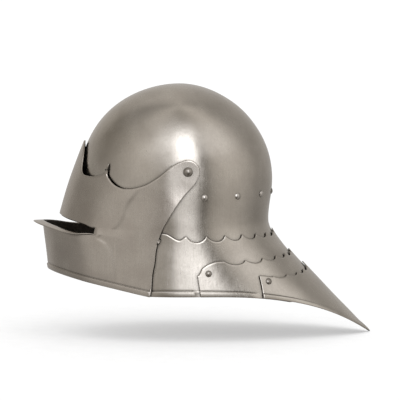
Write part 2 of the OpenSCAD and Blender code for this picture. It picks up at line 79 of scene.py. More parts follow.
PLATE = 1.5                       # thickness of the steel
GAP = 0.8                         # air between two plates that overlap
STEP = PLATE + GAP
SKULL_HALF_WIDTH = 103.0
CROWN_Z = SKULL_HIGH[2]
MIDDLE_X = -2.0
DOME_Z = 150.0
WAIST_Z = 92.0
DOME_RISE = CROWN_Z - DOME_Z
SKULL_FRONT = MIDDLE_X - SKULL_LOW[0]
SKULL_BACK = 125.0
FRONT_ROUNDNESS, BACK_ROUNDNESS, SIDE_ROUNDNESS = 2.02, 1.92, 2.2
WAIST_PULL = 5.0
SKULL_KEEL, TAIL_KEEL = 0.08, 0.3
FLARE_START = 18.0
RIM_HALF_WIDTH = 107.0
TAIL_REACH = TAIL_HIGH[0] - 5.0
TAIL_DROP = 4.8 - TAIL_LOW[2]
RIM_CURL = 3.1
BROW_Z = 118.0
SKULL_HEM_Z = 66.0
RIVET_Z = 130.5
EAR_RADIUS = 15.5
EAR_FLAT = 105.2
SEAT, SLACK = 0.8, 0.2            # air behind and beside a rivet's washer


# ---------------------------------------------------------------- arithmetic
def smooth(low, high, value):
    t = np.clip((np.asarray(value, float) - low) / (high - low), 0, 1)
    return t * t * (3 - 2 * t)


def mix(a, b, t):
    return a + (b - a) * t


def unit(v):
    return v / np.maximum(np.linalg.norm(v, axis=-1, keepdims=True), 1e-9)


def curve(keys, at):
    """Smooth curve through (position, value) keys, flat where the values turn round."""
    x, y = np.array(keys, float).T
    rise = np.diff(y) / np.diff(x)
    slope = np.zeros(len(x))
    product = rise[:-1] * rise[1:]
    turning = product <= 0
    total = np.where(turning, 1, rise[:-1] + rise[1:])
    slope[1:-1] = np.where(turning, 0, 2 * product / total)
    at = np.clip(at, x[0], x[-1])
    i = np.clip(np.searchsorted(x, at, side="right") - 1, 0, len(x) - 2)
    span = x[i + 1] - x[i]
    t = (at - x[i]) / span
    s = t * t * (3 - 2 * t)
    bend = t * (1 - t) ** 2 * slope[i] - t * t * (1 - t) * slope[i + 1]
    return mix(y[i], y[i + 1], s) + span * bend


def sin(degrees):
    return np.sin(np.radians(degrees))


def cos(degrees):
    return np.cos(np.radians(degrees))


# ---------------------------------------------------------------- the form of skull and neck plates
# turn is 0 at the brow, 90 at the left ear, 180 at the nape. level is 0 at the crown, 1 where the
# dome meets the sides, 2 at the waist and 3 at the lower rim.
def dome_scale(rise, roundness):
    return np.maximum(1 - np.maximum(rise, 0) ** roundness, 0) ** (1 / roundness)


def keeled(turn, keel):
    """Share of the full reach at a turn, with a ridge of the given sharpness along the middle."""
    return (1 - keel) * abs(cos(turn)) + keel * (1 - abs(sin(turn)))


def skull_point(turn, level):
    front = cos(turn) > 0
    rise = np.where(level < 1, cos(90 * np.minimum(level, 1)), 0)
    z = np.where(level < 1, DOME_Z + DOME_RISE * rise, mix(DOME_Z, WAIST_Z, level - 1))
    pull = WAIST_PULL * sin(90 * np.clip(level - 1, 0, 1)) ** 2
    reach = np.where(front, SKULL_FRONT * dome_scale(rise, FRONT_ROUNDNESS),
                     (SKULL_BACK - pull) * dome_scale(rise, BACK_ROUNDNESS))
    half_width = SKULL_HALF_WIDTH * dome_scale(rise, SIDE_ROUNDNESS)
    x = MIDDLE_X + np.where(front, -1, 1) * reach * keeled(turn, SKULL_KEEL)
    return np.stack([x, -half_width * sin(turn), z], axis=-1)


def rim_point(turn):
    front = cos(turn) > 0
    keel = np.where(front, SKULL_KEEL, TAIL_KEEL)
    reach = np.where(front, SKULL_FRONT, TAIL_REACH - MIDDLE_X)
    x = MIDDLE_X + np.where(front, -1, 1) * reach * keeled(turn, keel)
    drop = TAIL_DROP * (np.maximum(x, 0) / TAIL_REACH) ** RIM_CURL
    return np.stack([x, -RIM_HALF_WIDTH * sin(turn), -drop], axis=-1)


def flare(height):
    return height - FLARE_START * (1 - np.exp(-height / FLARE_START))


def neck_point(turn, level):
    top = skull_point(turn, np.full_like(level, 2.0))
    bottom = rim_point(turn)
    fall = top[..., 2] - bottom[..., 2]
    down = (level - 2) * fall
    out = (flare(np.maximum(down, 0)) / flare(fall))[..., None]
    point = mix(top, bottom, out)
    point[..., 2] = top[..., 2] - down
    return point


def form_point(turn, level):
    turn, level = np.broadcast_arrays(np.asarray(turn, float), np.asarray(level, float))
    return np.where((level <= 2)[..., None], skull_point(turn, level), neck_point(turn, level))


def form_normal(turn, level):
    turn_step, level_step = 0.5, 0.01
    level = np.asarray(level, float)
    low = np.maximum(level - level_step, 0)
    normal = unit(np.cross(
        form_point(turn, level + level_step) - form_point(turn, low),
        form_point(turn + turn_step, level) - form_point(turn - turn_step, level)))
    return np.where((level < level_step)[..., None], [0.0, 0.0, 1.0], normal)


def level_of(turn, z):
    turn, z = np.broadcast_arrays(np.asarray(turn, float), np.asarray(z, float))
    return np.where(z > WAIST_Z, 1 + (DOME_Z - z) / (DOME_Z - WAIST_Z),
                    2 + (WAIST_Z - z) / (WAIST_Z - rim_point(turn)[..., 2]))


def unevenness(point):
    """Slight waves that a hammered and planished plate keeps, in millimetres."""
    x, y, z = np.moveaxis(point, -1, 0)
    return (0.10 * np.sin(x / 13.0 + 1.3 * np.sin(z / 29.0)) * np.sin(z / 17.0 + y / 31.0)
            + 0.09 * np.sin(z / 9.0 + 0.9 * np.sin(x / 21.0) + y / 12.0)
            + 0.08 * np.sin(y / 11.0 - x / 19.0 + 2.0))


def form_offset(turn, level, out):
    point = form_point(turn, level)
    return point + (out + unevenness(point))[..., None] * form_normal(turn, level)


# ---------------------------------------------------------------- meshes
def add_object(name, mesh, material, body):
    obj = bpy.data.objects.new(name, mesh)
    bpy.context.scene.collection.objects.link(obj)
    mesh.materials.append(material)
    mesh.shade_smooth()
    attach(obj, body)
    return obj


def slotted(obj, node):
    """Hides a CAD node, so that a piece built in the same place stands in for it."""
    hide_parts(node)


def join_points(name, parts, material, body):
    """One object from several (points, faces) parts."""
    points, faces, start = [], [], 0
    for part_points, part_faces in parts:
        points.append(part_points)
        faces.extend([[start + corner for corner in face] for face in part_faces])
        start += len(part_points)
    mesh = bpy.data.meshes.new(name)
    mesh.from_pydata((np.concatenate(points) / MM).tolist(), [], faces)
    return add_object(name, mesh, material, body)


def shell(name, outer, inner, material, body, present=None, closed=False, crowned=False,
          segments=4, bulge=0.55, inside=None, bright_rows=()):
    """A plate made of two grids of points, with its edges rounded over. present marks its cells.
    inside is the material of its inner face, a much darker steel: partly a dull inside finish, partly painted
    shade for the helmet's inside and the gaps between plates. The cells of bright_rows, where the inside is
    seen lit, keep the outer material."""
    rows, columns = outer.shape[:2]
    count = rows * columns
    index = np.arange(count).reshape(rows, columns)
    if crowned:
        index[0] = 0
    after = np.roll(index, -1, axis=1)
    if not closed:
        index, after = index[:, :-1], after[:, :-1]
    a, b, d, e = index[:-1], after[:-1], index[1:], after[1:]
    if present is None:
        present = np.ones(a.shape, bool)
    cells = np.stack([a, d, e, b], axis=-1)[present]
    faces = []
    for quad in cells.tolist():
        if quad[0] == quad[3]:
            quad = quad[:3]
        faces.append(quad)
        faces.append([corner + count for corner in reversed(quad)])
    padded = np.pad(present, 1)
    if closed:
        padded[1:-1, 0], padded[1:-1, -1] = present[:, -1], present[:, 0]
    if crowned:
        padded[0] = True
    edges = []
    for start, end, rows_shift, columns_shift in (
            (a, b, -1, 0), (b, e, 0, 1), (e, d, 1, 0), (d, a, 0, -1)):
        beside = padded[1 + rows_shift:padded.shape[0] - 1 + rows_shift,
                        1 + columns_shift:padded.shape[1] - 1 + columns_shift]
        open_side = present & ~beside
        edges.append(np.stack([start[open_side], end[open_side]], axis=-1))
    edges = np.concatenate(edges)
    points = np.concatenate([outer.reshape(-1, 3), inner.reshape(-1, 3)])
    normal = unit(points[:count] - points[count:])
    outward = np.zeros((count, 3))
    for side in (0, 1):
        push = np.cross(normal[edges[:, side]], points[edges[:, 1]] - points[edges[:, 0]])
        np.add.at(outward, edges[:, side], unit(push))
    outward = unit(outward)
    used = np.unique(edges)
    extra = {vertex: k for k, vertex in enumerate(used.tolist())}
    thickness = np.linalg.norm(points[used] - points[used + count], axis=1)[:, None]
    middle = (points[used] + points[used + count]) / 2
    rounds = []
    for k in range(1, segments):
        angle = math.pi * k / segments
        swing = normal[used] * math.cos(angle) + bulge * outward[used] * math.sin(angle)
        rounds.append(middle + thickness / 2 * swing)

    def chain(vertex, k):
        if k == 0:
            return vertex
        if k == segments:
            return vertex + count
        return 2 * count + (k - 1) * len(used) + extra[vertex]

    for start, end in edges.tolist():
        for k in range(segments):
            faces.append([chain(start, k), chain(end, k), chain(end, k + 1), chain(start, k + 1)])
    points = np.concatenate([points] + rounds)
    mesh = bpy.data.meshes.new(name)
    mesh.from_pydata((points / MM).tolist(), [], faces)
    loose = sorted(set(range(len(points))) - {corner for face in faces for corner in face})
    if loose:
        remove_loose(mesh, loose)
    made = add_object(name, mesh, material, body)
    if inside is not None:
        mesh.materials.append(inside)
        index_of = np.zeros(len(mesh.polygons), np.int32)
        covered = np.ones(present.shape, bool)
        covered[list(bright_rows)] = False
        index_of[1:2 * len(cells):2] = covered[present]
        mesh.polygons.foreach_set("material_index", index_of)
        mesh.update()
    return made


def remove_loose(mesh, loose):
    work = bmesh.new()
    work.from_mesh(mesh)
    work.verts.ensure_lookup_table()
    bmesh.ops.delete(work, geom=[work.verts[i] for i in loose], context="VERTS")
    work.to_mesh(mesh)
    work.free()


def grid_normal(grid):
    down = np.gradient(grid, axis=0)
    across = np.gradient(grid, axis=1)
    return unit(np.cross(down, across))


# ---------------------------------------------------------------- skull and neck plates
def from_nape(turn):
    return abs(np.asarray(turn, float) - 180)


def scallop_edge(away, pitch, cusp_z, depth, tip):
    """Height of an edge of hollow scallops, with a point at the nape."""
    inner = away < pitch / 2
    along = np.where(inner, away / (pitch / 2), (away - pitch / 2) / pitch)
    swing = 2 * (along - np.floor(along + 0.0001)) - 1
    hollow = np.maximum(1 - swing * swing, 0) ** 0.8
    return cusp_z - np.where(inner, 0.55, 1) * depth * hollow + tip * np.maximum(1 - away / 3, 0)


def skull_hem_z(turn):
    return mix(BROW_Z, SKULL_HEM_Z, smooth(54, 72, 180 - from_nape(turn)))


BEVEL_STEPS = (0, 0.35, 0.8, 1.4, 2.2, 3.2)
ROLL_STEPS = (9, 8, 7.4, 6.9, 6.4, 5.8, 5, 4, 3, 2, 1.2, 0.5, 0)


def distances(path):
    """How far along a path each of its points lies."""
    return np.concatenate([[0], np.cumsum(np.linalg.norm(np.diff(path, axis=0), axis=1))])


def row_marks(length, steps):
    """Distances down from a top edge, closer together beside both edges. steps holds distances
    from the top, the count of rows between, and distances from the bottom."""
    near_top, middle_count, near_bottom = steps
    squeeze = np.minimum(1, length / (near_top[-1] + near_bottom[0] + 2))
    start, end = near_top[-1] * squeeze, length - near_bottom[0] * squeeze
    rows = [d * squeeze for d in near_top]
    rows += [start + (end - start) * s for s in np.linspace(0, 1, middle_count + 2)[1:-1]]
    rows += [length - d * squeeze for d in near_bottom]
    return np.array(rows)


def column_levels(turn, top, bottom, steps):
    """Levels down one column, spaced by true distance along the plate, and both distances."""
    probe = np.linspace(top, bottom, 60)
    along = distances(form_point(np.full(60, turn), probe))
    length = along[-1]
    marks = row_marks(length, steps)
    return np.interp(marks, along, probe), marks, length - marks


def patch_grid(turns, top, bottom, middle_rows, lean=None):
    """Turns, levels and distances from the two edges for a patch of the form."""
    steps = (BEVEL_STEPS, middle_rows, ROLL_STEPS)
    columns = [column_levels(t, a, b, steps) for t, a, b in zip(turns, top, bottom)]
    level, down, up = (np.stack([column[i] for column in columns], axis=1) for i in range(3))
    turn = np.broadcast_to(turns, level.shape).copy()
    if lean is not None:
        turn += lean * (down / (down + up))
    return turn, level, down, up


def bevel(distance, depth=0.5, width=1.7):
    """Rounds a plate's outer face over towards its edge."""
    return -depth * (1 - np.clip(distance / width, 0, 1)) ** 2


def rolled_rim(distance, rise=1.3):
    """A narrow band along the rim, struck outwards, with a fine line above it."""
    band = smooth(7.3, 6.3, distance) * (1 - 0.4 * (1 - np.clip(distance / 5.0, 0, 1)) ** 2)
    line = -0.45 * np.exp(-((distance - 7.5) / 0.45) ** 2)
    return rise * band + line


def form_plate(name, turn, level, down, up, base_out, rim_share, steel, body):
    roll = rolled_rim(up) * rim_share
    outer = form_offset(turn, level, base_out + roll + bevel(down))
    inner = form_offset(turn, level, base_out - PLATE + roll)
    return shell(name, outer, inner, steel[0], body, inside=steel[1])


def make_skull(steel):
    turns = np.arange(0, 360, 1.5)
    hem = level_of(turns, skull_hem_z(turns))
    dome_rows, lower_rows = 90, 40
    dome = np.broadcast_to((np.arange(dome_rows + 1) / dome_rows)[:, None], (dome_rows + 1, len(turns)))
    share = (np.arange(1, lower_rows + 1) / lower_rows)[:, None]
    level = np.concatenate([dome, mix(1, hem[None, :], share)])
    turn = np.broadcast_to(turns, level.shape)
    outer = form_offset(turn, level, 0)
    inner = form_offset(turn, level, -PLATE)
    return shell("skull_steel", outer, inner, steel[0], "skull_body", closed=True, crowned=True,
                 inside=steel[1])


def fine_turns(half_span, pitch, per_scallop):
    """Columns that land on every scallop's cusp, closer together beside it."""
    count = int(half_span / (pitch / 2))
    edges = np.array([0] + [pitch / 2 + pitch * k for k in range(count) if pitch / 2 + pitch * k < half_span])
    away = []
    for a, b in zip(edges, list(edges[1:]) + [half_span]):
        t = np.linspace(0, 1, per_scallop, endpoint=False)
        away.extend(a + (b - a) * (t - 0.06 * np.sin(2 * np.pi * t)))
    away = np.array(sorted(set(away + [half_span, 0.4, 0.9, 1.6, 2.3, 3.0])))
    keep = np.concatenate([[True], np.diff(away) > 0.12])
    away = away[keep]
    return np.concatenate([180 - away[::-1], 180 + away[1:]])


def make_lame_1(steel):
    pitch, cusp_end = 13.1, 85.15
    hidden_edge = [[85.15, 79.4], [89.5, 74.4], [98.5, 83], [104, 84]]
    turns = fine_turns(104 + 9.5, pitch, 14)
    away = from_nape(turns)
    scallops = scallop_edge(away, pitch, 76.3 + 3.3 * smooth(0, 60, away), 4.5 + 3.9 * sin(away), 3.5)
    top = level_of(turns, np.where(away > cusp_end, curve(hidden_edge, away), scallops))
    corner = level_of(turns, 5 * smooth(107.8, 111, away))
    bottom = mix(level_of(turns, 30), corner, smooth(60, 74, away))
    grid = patch_grid(turns, top, bottom, 24)
    rim_share = smooth(81.5, 84, from_nape(grid[0]))
    return form_plate("lame_1_steel", *grid, STEP, rim_share, steel, "lame_1_body")


def make_lame_2(steel):
    pitch, half_span = 12, 81
    corner = [[69.5, 45.5], [74, 43], [78, 37.5], [half_span, 28]]
    turns = fine_turns(half_span, pitch, 14)
    away = from_nape(turns)
    scallops = scallop_edge(away, pitch, 47.7 - 2.2 * smooth(10, 60, away), 4.2 + 1.4 * sin(away), 2.5)
    top = level_of(turns, np.where(away > 66, np.minimum(curve(corner, away), 45.6), scallops))
    bottom = mix(level_of(turns, 8), 3, smooth(34, 46, away))
    grid = patch_grid(turns, top, bottom, 24)
    rim_share = smooth(57.5, 60, from_nape(grid[0]))
    return form_plate("lame_2_steel", *grid, 2 * STEP, rim_share, steel, "lame_2_body")


def make_tail(steel):
    pitch, half_span, lean = 10, 52, 4.5
    turns = fine_turns(half_span, pitch, 14)
    away = from_nape(turns)
    scallops = scallop_edge(away, pitch, 25 - 3 * smooth(5, 30, away), 3.4, 6)
    top_z = np.where(away > 45, mix(21, 24, smooth(45, half_span, away)), scallops)
    top = level_of(turns, top_z)
    bottom = np.full(len(turns), 3.0)
    side = np.sign(turns - 180) * lean * smooth(28, half_span, away)
    grid = patch_grid(turns, top, bottom, 40, lean=side)
    return form_plate("tail_steel", *grid, 3 * STEP, 1.0, steel, "tail_body")


# ---------------------------------------------------------------- visor
# turn is 0 on the ridge at the front, 90 at the left ear and -90 at the right ear
VISOR_KEEL = 0.15
SIDE_REACH = 150.0
LIP_TURN = 45.0
LIP_REACH = 12.0
PEAK_Z = VISOR_HIGH[2]
RIM_FRONT_Z = 26.5
RIM_BACK_X = -41.0
FOLD_KEYS = [[0, 90], [10, 88.5], [21.5, 85], [28, 82.3], [36.5, 79.8], [LIP_TURN, 79]]
BROW_EDGE_KEYS = [[0, 100.4], [10.4, 98.2], [19.2, 96], [26, 94.4], [32.3, 92.8], [LIP_TURN, 88.5]]
TOP_KEYS = [
    [0, PEAK_Z], [3, PEAK_Z - 3.5], [8, 189], [11, 182], [14.6, 169.5], [18, 160.5], [22, 156],
    [30, 154.8], [36, 155.8], [42, 161], [42.6, 173.5], [43.2, 160], [46, 152.6], [49.5, 146.8],
    [53, 143.2], [57, 141.3], [61, 141.6], [69, 145.8], [78, 157.5], [87, 173.5], [92, 178.5],
    [96, 180]]
REAR_KEYS = [
    [-39.4, 0], [-38.6, 17], [-37.4, 30], [-34.5, 45], [-33, 60], [-30, 72], [-27, 82],
    [-22.3, 92.6], [2.7, 131.6], [20, 151.4], [25, 161.5]]
CREASE_KEYS = [
    [20, -89], [40, -90.5], [56, -95], [68, -102], [76, -112], [83, -106], [87, -92], [101, -80],
    [120, -73], [136, -62], [147, -54]]


def visor_front_x(turn, z):
    lower = -180 - 5.8 * (z - 30) / 51.7
    up = (z - 100.4) / 98.9
    upper = -164.4 + 34 * up - 2 * sin(180 * np.clip(up, 0, 1))
    blend = smooth(0, 1, (z - curve(FOLD_KEYS, turn) - 0.5)
                   / (curve(BROW_EDGE_KEYS, turn) - curve(FOLD_KEYS, turn) - 1))
    return mix(lower, upper, blend)


def visor_half_width(z):
    dome = SKULL_HALF_WIDTH * dome_scale((z - DOME_Z) / DOME_RISE, SIDE_ROUNDNESS) + 2.73
    return np.where(z < PIVOT_Z, 105 + 7.5 * (PIVOT_Z - z) / PIVOT_Z, dome)


def visor_point(turn, z):
    turn, z = np.broadcast_arrays(np.asarray(turn, float), np.asarray(z, float))
    away = abs(turn)
    reach = mix(MIDDLE_X - visor_front_x(away, z), SIDE_REACH, smooth(38, 70, away))
    x = np.where(away < 90, MIDDLE_X - reach * keeled(away, VISOR_KEEL), MIDDLE_X - SKULL_BACK * cos(away))
    from_pivot = np.hypot(x - PIVOT_X, z - PIVOT_Z)
    y = mix(visor_half_width(z) * sin(away), EAR_FLAT, smooth(48, EAR_RADIUS + 1, from_pivot))
    return np.stack([x, -np.sign(turn) * y, z], axis=-1)


def visor_turn(x):
    size = math.hypot(1 - VISOR_KEEL, VISOR_KEEL)
    front = (np.degrees(np.arccos(np.clip(((MIDDLE_X - x) / SIDE_REACH - VISOR_KEEL) / size, -1, 1)))
             - math.degrees(math.atan2(VISOR_KEEL, 1 - VISOR_KEEL)))
    back = 90 + np.degrees(np.arcsin(np.clip((x - MIDDLE_X) / SKULL_BACK, -1, 1)))
    return np.where(x > MIDDLE_X, back, front)


def with_nub(lower, up):
    """Draws out the small knob on the visor's rear edges."""
    near = np.where(lower[..., 0] > -45, smooth(9, 1.5, up), 0)
    lower[..., 0] += 2.6 * near * np.exp(-((lower[..., 2] - 73.5) / 2.0) ** 4)
    return lower


def visor_bottom(turn):
    x = visor_point(turn, 20)[..., 0]
    rim = RIM_FRONT_Z * np.maximum(RIM_BACK_X - x, 0) / (180 + RIM_BACK_X)
    return np.where(x > -39.4, curve(REAR_KEYS, x), rim)


def visor_top(turn):
    away = abs(turn)
    x = visor_point(turn, PIVOT_Z)[..., 0]
    ear = np.where(away < 85, 0, PIVOT_Z + np.sqrt(np.maximum(EAR_RADIUS ** 2 - (x - PIVOT_X) ** 2, 0)))
    return np.where(x > PIVOT_X, ear, np.maximum(curve(TOP_KEYS, away), ear))


def visor_line(turn, keys, share):
    away = abs(turn)
    return mix(curve(keys, away), mix(visor_bottom(turn), visor_top(turn), share),
               smooth(LIP_TURN, 72, away))


def lip_row(turns, place_turns, brow, fold, share):
    away = abs(turns)
    reach = LIP_REACH * np.maximum(cos(2 * away), 0) * share
    dip = (0.6 + 0.7 * sin(np.minimum(4 * away, 180))) * share
    rise = mix(-dip, share * np.minimum(1.4, (brow - fold) / 2), smooth(36, LIP_TURN, away))
    inside = away < LIP_TURN
    base = visor_point(place_turns, fold + np.where(inside, 0, rise))
    z = base[..., 2]
    onward = visor_point(place_turns + 1, z) - visor_point(place_turns - 1, z)
    sideways = unit(np.stack([onward[..., 1], -onward[..., 0], np.zeros(len(turns))], axis=-1))
    point = base + reach[..., None] * sideways
    point[..., 2] += np.where(inside, rise, 0)
    return point


def visor_turns():
    rear_x = np.concatenate([np.arange(-39.0, -31.2, 0.8), np.arange(-31, -27, 0.12),
                             np.arange(-26.8, -22, 0.8), np.arange(-21.5, 20, 1.3),
                             np.arange(20.3, 25.2, 0.45)])
    left = np.concatenate([
        np.linspace(0.5, 2.5, 5), np.arange(3, 41.5, 0.75), np.arange(41.5, 42.1, 0.2),
        np.linspace(42.15, 43.05, 13), np.arange(43.2, 44.9, 0.3), [LIP_TURN],
        np.arange(45.6, 73.1, 0.7), visor_turn(rear_x)])
    left = left[np.concatenate([[True], np.diff(left) > 0.02])]
    return np.concatenate([-left[::-1], [0], left])


def spaced_rows(top, bottom, steps):
    """Heights down from a top line to a bottom line, and the distances from both."""
    length = np.maximum(top - bottom, 0.01)
    down = row_marks(length, steps)
    return top - down, down, length - down


def crease(point):
    """The visor's cheeks are struck out in front of a soft crease that runs past the sight."""
    x, z = point[..., 0], point[..., 2]
    line = curve(CREASE_KEYS, z)
    ahead = line - x
    step = smooth(-7, 1.5, ahead)
    fade = smooth(150, 126, z) * smooth(8, 34, z)
    front_fade = smooth(75, 20, ahead)
    return step * fade * front_fade


def make_visor(steel):
    turns = visor_turns()
    brow = visor_line(turns, BROW_EDGE_KEYS, 0.55)
    fold = visor_line(turns, FOLD_KEYS, 0.45)
    top, bottom = visor_top(turns), visor_bottom(turns)
    upper_z, upper_down, upper_up = spaced_rows(top, brow, (BEVEL_STEPS, 44, (2.2, 1.4, 0.8, 0.35, 0)))
    lower_z, lower_down, lower_up = spaced_rows(fold, bottom, ((0, 0.5, 1.2, 2.2, 3.4), 44, ROLL_STEPS))
    slot_end = np.sign(turns) * smooth(34, 44, abs(turns)) * smooth(58, 46, abs(turns))
    upper_turns = turns - 2.2 * slot_end * smooth(16, 0, upper_up)
    lower_turns = turns + 0.8 * slot_end * smooth(16, 0, lower_down)
    upper = visor_point(upper_turns, upper_z)
    lip = np.stack([lip_row(turns, lower_turns[0], brow, fold, share)
                    for share in (1, 0.93, 0.8, 0.6, 0.4, 0.22, 0.1)])
    lower = np.concatenate([lip, with_nub(visor_point(lower_turns, lower_z), lower_up)])
    lip_rows = len(lip)
    none = np.full(lip.shape[:2], 99.0)
    upper_out = unevenness(upper) + bevel(upper_down) + crease(upper)
    away = abs(turns)[None, :]
    slot_bevel = bevel(upper_up) * smooth(LIP_TURN + 0.5, LIP_TURN, away)
    rim_share = smooth(-37.5, -43, lower[lip_rows:, :, 0])
    lower_up_all = np.concatenate([none, lower_up])
    share_all = np.concatenate([np.zeros_like(none), rim_share])
    lower_out = unevenness(lower) + rolled_rim(lower_up_all) * share_all + crease(lower)
    lower_out[:lip_rows] *= smooth(LIP_TURN, LIP_TURN + 2, away)
    parts = []
    for grid, out in ((upper, upper_out + slot_bevel), (lower, lower_out)):
        normal = grid_normal(grid)
        parts.append((grid + out[..., None] * normal, grid + (out - PLATE)[..., None] * normal))
    outer = np.concatenate([parts[0][0], parts[1][0]])
    inner = np.concatenate([parts[0][1], parts[1][1]])
    present = np.ones((outer.shape[0] - 1, outer.shape[1] - 1), bool)
    middle = (turns[:-1] + turns[1:]) / 2
    present[len(upper) - 1, abs(middle) < LIP_TURN] = False
    return shell("visor_steel", outer, inner, steel[0], "visor_body", present=present, inside=steel[1],
                 bright_rows=range(len(upper), len(upper) + lip_rows))


# ---------------------------------------------------------------- rivets and washers
def turned(profile, segments=40):
    """Points and faces of a shape turned about Z from (radius, height) pairs."""
    points, faces, rings = [], [], []
    for radius, height in profile:
        if radius < 1e-6:
            rings.append([len(points)])
            points.append((0, 0, height))
            continue
        rings.append(list(range(len(points), len(points) + segments)))
        angles = np.arange(segments) * 2 * math.pi / segments
        points.extend(np.stack([radius * np.cos(angles), radius * np.sin(angles),
                                np.full(segments, height)], axis=-1).tolist())
    for upper, lower in zip(rings, rings[1:]):
        for k in range(segments):
            after = (k + 1) % segments
            corners = [upper[k % len(upper)], lower[k % len(lower)],
                       lower[after % len(lower)], upper[after % len(upper)]]
            unique = list(dict.fromkeys(corners))
            if len(unique) > 2:
                faces.append(unique)
    return np.array(points), faces


def rivet_profile(head, rise, shank, grip):
    """A domed head with a small rounded foot to it, a shank, and the peened end inside."""
    foot = 0.8
    ball = (head * head + rise * rise) / (2 * rise)
    steepest = math.asin(min(1, head / ball))
    profile = []
    for share in np.linspace(0, 1, 12):
        angle = steepest * share
        profile.append((ball * math.sin(angle), rise - ball + ball * math.cos(angle)))
    profile[-1] = (head - 0.12, 0.22)
    profile += [(head, 0.1), (head, 0.0), (shank, 0.0), (shank, -grip), (shank * 1.5, -grip - 0.1),
                (shank * 1.5, -grip - foot + 0.3), (shank * 1.2, -grip - foot), (0, -grip - foot)]
    return profile


def washer_profile(radius, hole):
    edge = 0.2
    return [(hole, edge), (hole + edge, 0), (radius - edge, 0), (radius, edge), (radius, 1 - edge),
            (radius - edge, 1), (hole + edge, 1), (hole, 1 - edge), (hole, edge)]


def facing(normal):
    """Rotation that turns Z towards normal."""
    z = normal / np.linalg.norm(normal)
    helper = np.array([0.0, 0.0, 1.0]) if abs(z[2]) < 0.9 else np.array([1.0, 0.0, 0.0])
    x = unit(np.cross(helper, z))
    return np.stack([x, np.cross(z, x), z], axis=1)


def set_on(name, profile, seats, material, body, segments=40):
    """Copies of one turned shape, each on a seat of (place, direction)."""
    points, faces = turned(profile, segments)
    parts = []
    for k, (place, normal) in enumerate(seats):
        spin = 37.0 * k
        local = points.copy()
        local[:, 0] = points[:, 0] * cos(spin) - points[:, 1] * sin(spin)
        local[:, 1] = points[:, 0] * sin(spin) + points[:, 1] * cos(spin)
        parts.append((place + local @ facing(normal).T, faces))
    return join_points(name, parts, material, body)


def form_seat(turn, z, out):
    level = level_of(turn, z)
    place = form_point(turn, level)
    normal = form_normal(turn, level)
    return place + out * normal, normal


def both_sides(turn, z, out):
    """The seat on the left and the one on the right."""
    place, normal = form_seat(turn, z, out)
    other = np.array([1, -1, 1])
    return [(place, normal), (place * other, normal * other)]


LINING_TURNS = [180 + 24.3 * k for k in range(-3, 4)] + [-42, -14, 14, 42]
PIVOTS = {"lame_1": (73, 70, STEP, 1.2), "lame_2": (104.2, 30.3, 2 * STEP, 2.2),
          "tail": (130.6, 16.1, 3 * STEP, 2.2)}
STRAP_SEAT = (74, 96)
STRAP_GRIP, STRAP_WASHER_AT = 9, -9.1
WASHER = 1                        # thickness of a washer
PIVOT_HEAD, PIVOT_RISE, PIVOT_SHANK, PIVOT_GRIP = 6.2, 3.4, 2.5, 7.4
HEAD_RADIUS, SHANK_RADIUS = 4.4, 1.6
BAND_OUT, BAND_IN = -1.9, -3.9


def make_pivots(steel, dull_steel_and_shade):
    seats, inside = [], []
    half_width = SKULL_HALF_WIDTH * dome_scale((PIVOT_Z - DOME_Z) / DOME_RISE, SIDE_ROUNDNESS)
    inner = half_width - PLATE - 2 * SEAT - SLACK
    for side in (-1, 1):
        out = np.array([0.0, side, 0.0])
        seats.append((np.array([PIVOT_X, side * (EAR_FLAT + 0.2), PIVOT_Z]), out))
        inside.append((np.array([PIVOT_X, side * (inner - WASHER), PIVOT_Z]), out))
    profile = rivet_profile(PIVOT_HEAD, PIVOT_RISE, PIVOT_SHANK, PIVOT_GRIP)
    rivet = set_on("visor_pivots", profile, seats, steel, "skull_body", 64)
    slotted(rivet, "visor_pivot_rivets")
    washer = set_on("visor_pivot_backs", washer_profile(7, 2.6), inside, dull_steel_and_shade, "skull_body", 64)
    slotted(washer, "visor_pivot_washers")


def make_plate_rivets(steel, dull_steel_and_shade):
    for plate, (turn, z, out, rise) in PIVOTS.items():
        seats = both_sides(turn, z, out + 0.1)
        grip = 2 * PLATE + GAP + WASHER + SEAT + SLACK
        body = plate + "_body"
        rivet = set_on(plate + "_pivot_heads", rivet_profile(HEAD_RADIUS, rise, SHANK_RADIUS, grip),
                       seats, steel, body)
        slotted(rivet, plate + "_rivets")
        seats = both_sides(turn, z, out - 2 * PLATE - GAP - SEAT - WASHER)
        washer = set_on(plate + "_pivot_backs", washer_profile(4.5, 1.7), seats, dull_steel_and_shade, body)
        slotted(washer, plate + "_washers")


def make_lining_rivets(steel, dull_steel_and_shade):
    seats = [form_seat(turn, RIVET_Z, 0.1) for turn in LINING_TURNS]
    profile = rivet_profile(HEAD_RADIUS, 2, SHANK_RADIUS, 0.1 - BAND_IN + SEAT + SLACK + WASHER)
    rivet = set_on("lining_rivet_heads", profile, seats, steel, "skull_body")
    slotted(rivet, "lining_rivets")
    seats = [form_seat(turn, RIVET_Z, BAND_IN - SEAT - WASHER) for turn in LINING_TURNS]
    washer = set_on("lining_rivet_backs", washer_profile(4, 1.7), seats, dull_steel_and_shade, "skull_body")
    slotted(washer, "lining_rivet_washers")


def make_strap_rivets(dull_steel_and_shade):
    turn, z = STRAP_SEAT
    rivet = set_on("strap_rivet_heads", rivet_profile(3.6, 1, SHANK_RADIUS, STRAP_GRIP),
                   both_sides(turn, z, 0.1), dull_steel_and_shade, "skull_body")
    slotted(rivet, "strap_rivets")
    washer = set_on("strap_rivet_backs", washer_profile(3.6, 1.7),
                    both_sides(turn, z, STRAP_WASHER_AT), dull_steel_and_shade, "skull_body")
    slotted(washer, "strap_washers")


